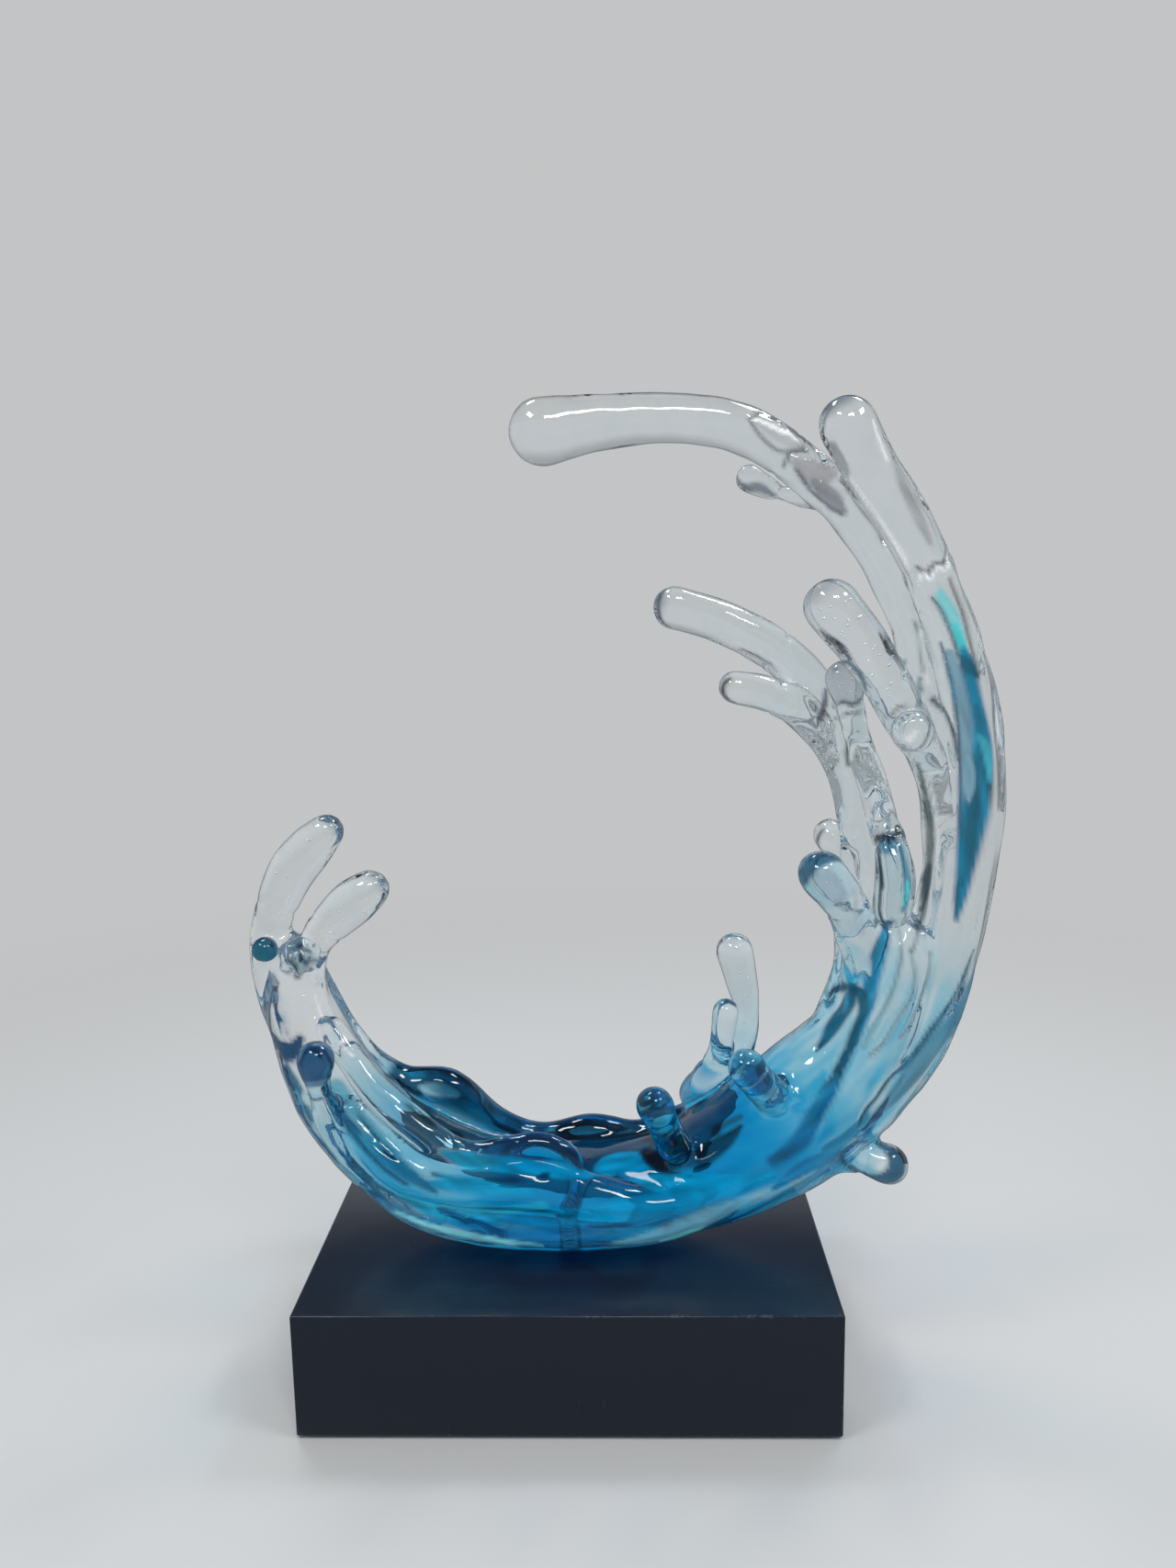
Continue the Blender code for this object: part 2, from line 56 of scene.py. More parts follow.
# Where the base and the wave meet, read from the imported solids.
baseLow = Vector([min(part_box(f"base_{side}_panel")[0][k] for side in ("left", "front", "top"))
                  for k in range(3)])
baseHigh = Vector([max(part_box(f"base_{side}_panel")[1][k] for side in ("right", "back", "top"))
                   for k in range(3)])
baseTop = baseHigh.z
rodLow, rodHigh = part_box("threaded_rod")
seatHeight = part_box("wave_body")[0].z

# The camera stands where the photograph was taken from. Angles are in radians, sizes in metres.
cameraSetting = {
    "place": (0.0325, -0.6425, 0.4498),
    "pitch": 0.1532,
    "yaw": -0.0274,
    "roll": -0.0177,
    "focalPixels": 1232,
    "photoPixels": (1280, 1707),
    "sensor": 36,           # millimetres
    "clipStart": 0.01,
}


def turned(one, other, angle):
    # a direction turned towards another, and that other one, which turns with it
    return one * math.cos(angle) + other * math.sin(angle), other * math.cos(angle) - one * math.sin(angle)


def makeCamera(setting):
    lens = bpy.data.cameras.new("camera")
    lens.sensor_width = setting["sensor"]
    lens.lens = setting["focalPixels"] * setting["sensor"] / setting["photoPixels"][1]
    lens.clip_start = setting["clipStart"]
    camera = bpy.data.objects.new("camera", lens)
    right = Vector((math.cos(setting["yaw"]), -math.sin(setting["yaw"]), 0))
    ahead = Vector((math.sin(setting["yaw"]), math.cos(setting["yaw"]), 0))
    ahead, up = turned(ahead, Vector((0, 0, 1)), -setting["pitch"])
    right, up = turned(right, up, setting["roll"])
    turn = Matrix((right, up, -ahead)).transposed().to_4x4()
    camera.matrix_world = Matrix.Translation(setting["place"]) @ turn
    bpy.context.scene.collection.objects.link(camera)
    bpy.context.scene.camera = camera
    return camera


camera = makeCamera(cameraSetting)
bpy.context.scene.view_settings.view_transform = "Standard"


def throughPixel(x, y):
    # the direction in which the camera sees a pixel of the photograph
    wide, high = cameraSetting["photoPixels"]
    aside = Vector((x - wide / 2, high / 2 - y, -cameraSetting["focalPixels"]))
    return (camera.matrix_world.to_3x3() @ aside).normalized()


# Light goes on through many folds of clear resin.
lightBounces = {
    "max_bounces": 28,
    "glossy_bounces": 16,
    "transmission_bounces": 24,
    "transparent_max_bounces": 16,
}
for name, count in lightBounces.items():
    setattr(bpy.context.scene.cycles, name, count)
report("camera")


# Shader maths: a Wire holds a socket, and an expression on Wires adds its Math nodes.
class Wire:
    def __init__(self, tree, socket=None):
        self.tree = tree
        self.socket = socket

    def node(self, kind, settings=None, values=None, output=0):
        made = self.tree.nodes.new(kind)
        for name, value in (settings or {}).items():
            if name == "stops":
                setStops(made.color_ramp, value)
            else:
                setattr(made, name, value)
        for key, value in (values or {}).items():
            if isinstance(value, Wire):
                self.tree.links.new(value.socket, made.inputs[key])
            else:
                made.inputs[key].default_value = value
        return Wire(self.tree, made.outputs[output] if made.outputs else None)

    def other(self, output):
        return Wire(self.tree, self.socket.node.outputs[output])

    def maths(self, operation, *values):
        return self.node("ShaderNodeMath", {"operation": operation}, dict(enumerate(values)))

    def __add__(self, other):
        return self.maths("ADD", self, other)

    def __radd__(self, other):
        return self.maths("ADD", other, self)

    def __sub__(self, other):
        return self.maths("SUBTRACT", self, other)

    def __rsub__(self, other):
        return self.maths("SUBTRACT", other, self)

    def __mul__(self, other):
        return self.maths("MULTIPLY", self, other)

    def __rmul__(self, other):
        return self.maths("MULTIPLY", other, self)

    def rise(self, low, high):
        # 0 below low and 1 above high, or the other way round, with a soft step between
        steps = {"Value": self, "From Min": low, "From Max": high}
        return self.node("ShaderNodeMapRange", {"interpolation_type": "SMOOTHSTEP"}, steps)

    def between(self, low, high):
        # the same with a straight slope
        return self.node("ShaderNodeMapRange", {}, {"Value": self, "From Min": low, "From Max": high})

    def blend(self, first, second):
        # first where this is 0, second where it is 1
        return self.node("ShaderNodeMix", {"data_type": "RGBA"}, {0: self, 6: first, 7: second}, 2)

    def mixed(self, first, second):
        # the same for shaders
        return self.node("ShaderNodeMixShader", {}, {0: self, 1: first, 2: second})

    def tinted(self, colour):
        # this colour times another
        return self.node("ShaderNodeMix", {"data_type": "RGBA", "blend_type": "MULTIPLY"},
                         {0: 1.0, 6: self, 7: colour}, 2)

    def noise(self, values):
        # cloudy values at this place
        return self.node("ShaderNodeTexNoise", {}, {"Vector": self, **values})

    def bump(self, strength, distance):
        return self.node("ShaderNodeBump", {}, {"Height": self, "Strength": strength, "Distance": distance})


def setStops(ramp, stops):
    while len(ramp.elements) < len(stops):
        ramp.elements.new(1.0)
    for element, (position, colour) in zip(ramp.elements, stops):
        element.position = position
        element.color = colour


def newFinish(name):
    made = bpy.data.materials.new(name)
    made.use_nodes = True
    made.node_tree.nodes.clear()
    return made, Wire(made.node_tree)


def endFinish(start, shader):
    start.node("ShaderNodeOutputMaterial", {}, {"Surface": shader})


def endPrincipled(start, values):
    endFinish(start, start.node("ShaderNodeBsdfPrincipled", {}, values))


def objectPlace(start):
    return start.node("ShaderNodeTexCoord", {}, {}, "Object")


def shade(colour, factor=1.0):
    return (colour[0] * factor, colour[1] * factor, colour[2] * factor, 1.0)


white = shade((1, 1, 1))


def loose(name, mesh):
    made = bpy.data.objects.new(name, mesh)
    bpy.context.scene.collection.objects.link(made)
    return made


def meshFrom(bm, name):
    mesh = bpy.data.meshes.new(name)
    bm.to_mesh(mesh)
    bm.free()
    return mesh


def addPiece(name, mesh, material, slot, *replaced):
    made = loose(name, mesh)
    mesh.materials.clear()
    mesh.materials.append(material)
    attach(made, "root")
    if replaced:
        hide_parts(*replaced)
    return made


# The wave's fingers: points down the middle of each strand from tip to root, as x, y, height above
# the base and radius in millimetres. They follow the imported solids, and a few of them were moved a
# little to match the photograph better.
fingers = {
    "top_arm": [
        (-7, 8, 474, 19.4), (23, 9, 478, 15.8), (59, 10, 480, 14), (95, 11, 476, 14.3),
        (125, 13, 462, 13.8), (153, 15, 439, 12.8), (176, 15, 410, 11.8), (192, 14, 381, 11.4),
        (204, 12, 347, 10.4), (214, 9, 308, 10.5), (221, 5, 270, 11.6)],
    "outer_finger": [
        (157, -14, 471, 15.8), (169, -15, 449, 15), (185, -15, 425, 14.5), (200, -14, 398, 14.1),
        (215, -10, 365, 14.2), (227, -5, 329, 15.4), (234, 0, 292, 16.7), (235, 0, 250, 17.4),
        (229, 0, 207, 17.6), (219, 0, 160, 17.9), (203, 0, 120, 19.6), (177, 0, 85, 21.4)],
    "middle_finger": [
        (147, -32, 375, 15.6), (162, -33, 356, 14.3), (177, -31, 334, 13.4), (191, -24, 312, 12.1),
        (205, -14, 286, 10.3), (213, -7, 256, 9.9), (217, -2, 223, 10.6), (212, 0, 185, 12.8),
        (199, 0, 146, 15.1)],
    "middle_drop": [(184, -59, 311, 12), (193, -30, 308, 7.6)],
    "inner_upper_finger": [
        (66, 15, 376, 13.1), (92, 17, 368, 12.6), (118, 20, 355, 13.1), (141, 21, 336, 13.1),
        (157, 19, 311, 11.6), (167, 14, 284, 10.6), (175, 9, 255, 10.6), (180, 5, 222, 12.8)],
    "inner_lower_finger": [
        (99, 0, 331, 10.4), (120, 2, 326, 10.9), (138, 7, 315, 11.4), (154, 10, 296, 10.5),
        (165, 9, 269, 9.5), (173, 7, 239, 10.6)],
    "ball_tip": [
        (159, -5, 335, 11.5), (165, -4, 313, 7.6), (172, -3, 289, 8.7), (179, -2, 268, 8.9),
        (185, 0, 242, 10), (187, 2, 212, 11.7), (184, 0, 179, 12.9)],
    "hanging_drop": [
        (181, -38, 211, 11.2), (182, -38, 227, 11.6), (181, -34, 242, 10.1), (180, -23, 256, 8.2),
        (179, -9, 268, 7.8)],
    "small_tip": [(160, 34, 238, 10.9), (168, 25, 228, 9.3), (178, 12, 208, 9.7)],
    "blue_tip": [
        (146, -20, 227, 13.9), (159, -17, 210, 12.9), (169, -13, 187, 12.6), (174, -8, 161, 14.3),
        (174, -4, 131, 16.2)],
    "tall_sprig": [
        (102, 28, 168, 12), (106, 28, 150, 10.7), (109, 28, 132, 8.7), (108, 28, 114, 9.1),
        (98, 28, 96, 11.4), (81, 28, 76, 14.0)],
    "short_sprig": [(95, 11, 136, 8.8), (93, 13, 119, 8.0), (91, 17, 104, 8.6), (83, 20, 90, 9.5)],
    "front_bud_left": [(50, -54, 106, 11.1), (55, -42, 89, 9.8), (62, -28, 68, 10.6)],
    "front_bud_right": [(101, -46, 124, 11.2), (110, -36, 110, 10.9), (123, -22, 92, 11.7)],
    "horn": [(188, -14, 50, 12.4), (174, -12, 53, 10.3), (159, -8, 53, 10.9), (138, 0, 49, 14.4)],
    "left_outer_finger": [
        (-138, 0, 251, 11.0), (-149, 0, 240, 14), (-161, 0, 225, 14.2), (-170, 0, 205, 12.4),
        (-176, 0, 183, 10.9), (-174, 0, 155, 11), (-165, 0, 126, 12)],
    "left_inner_finger": [
        (-113, -4, 217, 12), (-125, -4, 208, 14.2), (-138, -4, 196, 12.2), (-148, -4, 183, 10),
        (-153, -2, 161, 10.9), (-152, 0, 132, 14.3)],
    "left_facing_bud": [(-147, -36, 187, 11.3), (-151, -18, 181, 7.9)],
    "left_bead": [(-170, -26, 188, 8.6), (-173, -9, 184, 5)],
    "left_low_bud": [
        (-138, -48, 131, 11.5), (-138, -42, 110, 7.6), (-133, -35, 85, 9.5), (-122, -30, 62, 8.5)],
    "arm_drop": [(111, 39, 450, 8.9), (120, 38, 445, 7.8), (131, 34, 440, 6), (147, 22, 436, 7)],
}

# Strands with no free tip: the inner edge, the two lips of the trough and its walls.
folds = {
    "inner edge": [
        (173, 8, 242, 10.6), (172, 13, 213, 10.2), (171, 14, 188, 10.9), (170, 12, 160, 12.6),
        (162, 8, 129, 15.4)],
    "back lip": [
        (-150, 8, 172, 4.4), (-139, 16, 131, 7.9), (-126, 24, 104, 9.1), (-105, 30, 83, 11.6),
        (-77, 33, 79, 12.2), (-49, 36, 54, 10.5), (-20, 40, 41, 10.6), (13, 40, 46, 11.2),
        (45, 40, 42, 11.2), (80, 36, 58, 11.7), (122, 30, 87, 12), (152, 20, 112, 12)],
    "front fold": [
        (-135, -20, 139, 8.5), (-114, -30, 110, 9.5), (-87, -36, 87, 10), (-61, -38, 71, 8.4),
        (-38, -38, 73, 7.3), (-17, -37, 76, 7.3), (-1, -37, 71, 6.8), (8, -38, 64, 4.7)],
    "front ridge": [
        (-122, -30, 62, 8.5), (-96, -36, 40, 10), (-55, -38, 27, 12), (0, -36, 24, 14),
        (60, -34, 30, 14), (110, -24, 52, 14)],
    "front wall": [
        (-128, -30, 92, 10), (-96, -37, 62, 13), (-61, -39, 54, 14), (-20, -39, 52, 15),
        (12, -38, 45, 13), (45, -36, 36, 12), (80, -33, 42, 12), (120, -26, 70, 12)],
    "back wall": [
        (-130, 24, 92, 10), (-105, 31, 66, 13), (-77, 34, 58, 14), (-49, 37, 42, 12), (-20, 40, 32, 12),
        (13, 40, 33, 12), (45, 40, 31, 12), (80, 36, 44, 12), (120, 30, 76, 12)],
    "keel": [
        (177, 0, 86, 21), (147, -4, 57, 20), (110, -8, 36, 18), (70, -8, 24, 18), (20, -6, 19, 18),
        (-40, -6, 21, 18), (-90, -4, 38, 18), (-128, 0, 66, 18), (-154, 0, 108, 13), (-166, 0, 146, 10)],
}

# The body of the trough: x, height, half its thickness and half its depth in millimetres.
trough = [
    (-164, 178, 13, 14), (-158, 142, 19, 24), (-140, 94, 25, 32), (-105, 54, 27, 40), (-55, 30, 25, 44),
    (0, 23.5, 25.5, 45), (55, 31, 26, 44), (100, 52, 33, 40), (145, 86, 37, 36), (180, 130, 27, 30),
    (193, 174, 24, 24)]

waveSizes = {
    "cell": 2.03,           # spacing of the casting grid, in millimetres
    "reach": 8.0,           # how far from a strand's skin the field is followed
    "softness": 2.6,        # how wide the surface tension rounds creases
    "drawnIn": 3.6,         # what the tension takes off each strand, in square millimetres over its radius
    "stepsPerPoint": 5,
    "leastCorner": (-200, -60, -12),  # the grid begins here, or lower where a strand does
    "relaxed": 3,           # how often the skin's vertices are evened out
    "slopeLimit": 0.05,     # below this the field is too flat to follow
    "seatFree": 6,          # relief fades out over this height above the milled seat
}


def curveThrough(points, steps):
    # a smooth curve through every point, with so many rows from each to the next
    keys = np.array(points, float)
    keys = np.vstack((2 * keys[0] - keys[1], keys, 2 * keys[-1] - keys[-2]))
    shares = np.arange(steps)[:, None] / steps
    rows = []
    for a, b, c, d in zip(keys, keys[1:], keys[2:], keys[3:]):
        rows.append(0.5 * (2 * b + (c - a) * shares + (2 * a - 5 * b + 4 * c - d) * shares ** 2
                           + (3 * b - a - 3 * c + d) * shares ** 3))
    return np.vstack(rows + [keys[-2:-1]])


class CastingGrid:
    # distances to the wave's skin on a regular grid, in millimetres, with heights above the base
    def __init__(self, low, high, cell, reach):
        self.low = np.array(low, float)
        self.cell = cell
        self.reach = reach
        size = np.ceil((np.array(high) - self.low) / cell).astype(int) + 1
        self.values = np.full(size, reach, np.float32)

    def block(self, low, high):
        first = np.clip(np.floor((low - self.low) / self.cell).astype(int), 0, None)
        last = np.minimum(np.ceil((high - self.low) / self.cell).astype(int) + 1, self.values.shape)
        places = [self.low[k] + self.cell * np.arange(first[k], last[k], dtype=np.float32) for k in range(3)]
        spot = tuple(slice(a, b) for a, b in zip(first, last))
        return spot, np.meshgrid(*places, indexing="ij", sparse=True)

    def pourStrand(self, points):
        for a, b in zip(points, points[1:]):
            grown = max(a[3], b[3]) + self.reach
            spot, (x, y, z) = self.block(np.minimum(a, b)[:3] - grown, np.maximum(a, b)[:3] + grown)
            along = b[:3] - a[:3]
            share = (x - a[0]) * along[0] + (y - a[1]) * along[1] + (z - a[2]) * along[2]
            share = np.clip(share / (along @ along), 0, 1)
            aside = ((x - a[0] - share * along[0]) ** 2 + (y - a[1] - share * along[1]) ** 2
                     + (z - a[2] - share * along[2]) ** 2)
            skin = np.sqrt(aside) - (a[3] + share * (b[3] - a[3]))
            self.values[spot] = np.minimum(self.values[spot], skin)

    def pourTrough(self, points):
        # oval sections, from x, height, half thickness and half depth
        for a, b in zip(points, points[1:]):
            grown = np.array((max(a[2], b[2]), max(a[3], b[3]), max(a[2], b[2]))) + self.reach
            low = np.array((min(a[0], b[0]), 0, min(a[1], b[1]))) - grown
            high = np.array((max(a[0], b[0]), 0, max(a[1], b[1]))) + grown
            spot, (x, y, z) = self.block(low, high)
            along = b[:2] - a[:2]
            share = np.clip(((x - a[0]) * along[0] + (z - a[1]) * along[1]) / (along @ along), 0, 1)
            aside = np.sqrt((x - a[0] - share * along[0]) ** 2 + (z - a[1] - share * along[1]) ** 2)
            thick, deep = a[2] + share * (b[2] - a[2]), a[3] + share * (b[3] - a[3])
            ratio = np.sqrt((aside / thick) ** 2 + (y / deep) ** 2) + 1e-6
            steep = np.sqrt((aside / thick ** 2) ** 2 + (y / deep ** 2) ** 2) + 1e-6
            skin = ratio * (ratio - 1) / steep
            self.values[spot] = np.minimum(self.values[spot], skin)

    def soften(self, width):
        # a Gaussian blur along each axis: creases fill and tips draw in, as surface tension does
        self.values = np.clip(self.values, -self.reach, self.reach)
        reach = int(math.ceil(3 * width / self.cell))
        taps = np.exp(-0.5 * (np.arange(-reach, reach + 1) * self.cell / width) ** 2)
        taps = (taps / taps.sum()).astype(np.float32)
        for axis in range(3):
            source = np.moveaxis(self.values, axis, 0)
            padded = np.concatenate((source[:1].repeat(reach, 0), source, source[-1:].repeat(reach, 0)))
            blurred = sum(tap * padded[i:i + len(source)] for i, tap in enumerate(taps))
            self.values = np.ascontiguousarray(np.moveaxis(blurred, 0, axis))

    def sample(self, points):
        # the field and its slope at points, between grid corners
        spot = (points - self.low) / self.cell
        corner = np.clip(np.floor(spot).astype(int), 0, np.array(self.values.shape) - 2)
        t = spot - corner
        found = np.zeros(len(points))
        slope = np.zeros((len(points), 3))
        for step in np.ndindex(2, 2, 2):
            value = self.values[tuple((corner + step).T)]
            share = [t[:, k] if step[k] else 1 - t[:, k] for k in range(3)]
            found += value * share[0] * share[1] * share[2]
            for k in range(3):
                rest = share[(k + 1) % 3] * share[(k + 2) % 3]
                slope[:, k] += value * rest * (1 if step[k] else -1) / self.cell
        return found, slope

    def skin(self):
        # one vertex in each cell that the skin crosses, and one quad for each grid edge it crosses
        values = self.values
        inside = values < 0
        cells = np.zeros(np.array(values.shape) - 1, int)
        for step in np.ndindex(2, 2, 2):
            cells += inside[tuple(slice(s, s + n) for s, n in zip(step, cells.shape))]
        active = np.argwhere((cells > 0) & (cells < 8))
        number = np.full(cells.shape, -1)
        number[tuple(active.T)] = np.arange(len(active))
        total = np.zeros((len(active), 3))
        count = np.zeros(len(active))
        for axis in range(3):
            for sides in np.ndindex(2, 2):
                start = np.insert(np.array(sides), axis, 0)
                end = np.insert(np.array(sides), axis, 1)
                first = values[tuple((active + start).T)]
                second = values[tuple((active + end).T)]
                crossed = (first < 0) != (second < 0)
                share = np.where(crossed, first / np.where(crossed, first - second, 1), 0)
                total += np.where(crossed[:, None], active + start + share[:, None] * (end - start), 0)
                count += crossed
        points = self.low + self.cell * total / count[:, None]
        quads = []
        for axis in range(3):
            one, two = (axis + 1) % 3, (axis + 2) % 3
            low = [slice(None)] * 3
            high = [slice(None)] * 3
            low[axis], high[axis] = slice(0, -1), slice(1, None)
            changed = inside[tuple(low)] != inside[tuple(high)]
            edges = np.argwhere(changed)
            edges = edges[(edges[:, one] > 0) & (edges[:, two] > 0)]
            outward = inside[tuple(edges.T)]
            ring = []
            for back in ((1, 1), (0, 1), (0, 0), (1, 0)):
                cell = edges.copy()
                cell[:, one] -= back[0]
                cell[:, two] -= back[1]
                ring.append(number[tuple(cell.T)])
            ring = np.stack(ring, 1)
            quads.append(np.where(outward[:, None], ring, ring[:, ::-1]))
        return points, np.vstack(quads)


def relax(points, quads):
    # each vertex moves halfway to the middle of its neighbours
    total = np.zeros_like(points)
    count = np.zeros(len(points))
    for k in range(4):
        for beside in (quads[:, (k + 1) % 4], quads[:, (k + 3) % 4]):
            for axis in range(3):
                total[:, axis] += np.bincount(quads[:, k], points[beside, axis], len(points))
            count += np.bincount(quads[:, k], minlength=len(points))
    return (points + total / count[:, None]) / 2


def slowWaves(places, lengths, count, rng):
    # the sum of sine waves in random directions through places, about 1 high
    height = np.zeros(len(places))
    for _ in range(count):
        direction = rng.normal(size=places.shape[1])
        direction /= np.linalg.norm(direction)
        length = rng.uniform(*lengths)
        height += np.sin(2 * math.pi * (places @ direction) / length + rng.uniform(0, 2 * math.pi))
    return height / math.sqrt(count)


def softStep(low, high, value):
    share = np.clip((value - low) / (high - low), 0, 1)
    return share * share * (3 - 2 * share)


def nearStrand(points, strand):
    # for each point: the least distance to the strand's middle line, the radius there and the place
    # along it, counted in the strand's rows
    best = np.full(len(points), 1e9)
    radius = np.ones(len(points))
    along = np.zeros(len(points))
    for i, (a, b) in enumerate(zip(strand, strand[1:])):
        step = b[:3] - a[:3]
        share = np.clip(((points - a[:3]) @ step) / (step @ step), 0, 1)
        away = np.linalg.norm(points - a[:3] - share[:, None] * step, axis=1)
        closer = away < best
        best = np.where(closer, away, best)
        radius = np.where(closer, a[3] + share * (b[3] - a[3]), radius)
        along = np.where(closer, i + share, along)
    return best, radius, along


def nearby(points, strand, margin):
    # the numbers of the points in the strand's box
    edge = strand[:, 3:4].max() + margin
    inside = (points > strand[:, :3].min(0) - edge) & (points < strand[:, :3].max(0) + edge)
    return np.flatnonzero(inside.all(1))


# How strongly the resin is dyed, from 0 for clear to 3 for ink blue, and the tint of each step.
dyeSteps = [0.0, 0.2, 0.4, 0.6, 0.8, 1.0, 1.4, 2.0, 3.0]
dyeTints = np.array([(0.975, 0.985, 0.985), (0.70, 0.89, 0.95), (0.37, 0.76, 0.92), (0.13, 0.60, 0.89),
                     (0.024, 0.46, 0.82), (0.003, 0.35, 0.74), (0.001, 0.15, 0.40), (0.001, 0.05, 0.12),
                     (0.0005, 0.012, 0.03)])

# Each finger: the row of its path where it is bonded on, its dye at the tip and at the bond, and how
# strongly painted shade darkens its tip's end towards the tint below, for the dark crescent that a clear
# strand's end shows.
fingerDyesAndTipShades = {
    "top_arm": (4.0, 0.02, 0.03, 0),
    "outer_finger": (3.0, 0.02, 0.03, 0.95),
    "middle_finger": (2.0, 0.02, 0.04, 0.6),
    "middle_drop": (0.4, 0.10, 0.05, 0),
    "inner_upper_finger": (2.2, 0.02, 0.05, 0.7),
    "inner_lower_finger": (1.0, 0.02, 0.05, 0.6),
    "ball_tip": (0.55, 0.16, 0.10, 0.4),
    "hanging_drop": (2.2, 0.10, 0.16, 0),
    "small_tip": (0.6, 0.03, 0.05, 0.5),
    "blue_tip": (1.0, 0.25, 0.18, 0),
    "tall_sprig": (3.9, 0.06, 0.22, 0.2),
    "short_sprig": (2.3, 0.08, 0.22, 0),
    "front_bud_left": (0.7, 0.6, 0.8, 0),
    "front_bud_right": (0.7, 0.6, 0.8, 0),
    "horn": (0.8, 0.10, 0.60, 0),
    "left_outer_finger": (2.8, 0.02, 0.03, 0.75),
    "left_inner_finger": (2.0, 0.02, 0.03, 0.55),
    "left_facing_bud": (0.7, 0.15, 0.20, 0),
    "left_bead": (0.5, 2.3, 2.3, 0),
    "left_low_bud": (0.6, 0.6, 0.6, 0),
    "arm_drop": (1.6, 0.04, 0.04, 0),
}
# the tint of the painted shade at a clear finger's end
tipShadeTint = np.array((0.12, 0.20, 0.28))
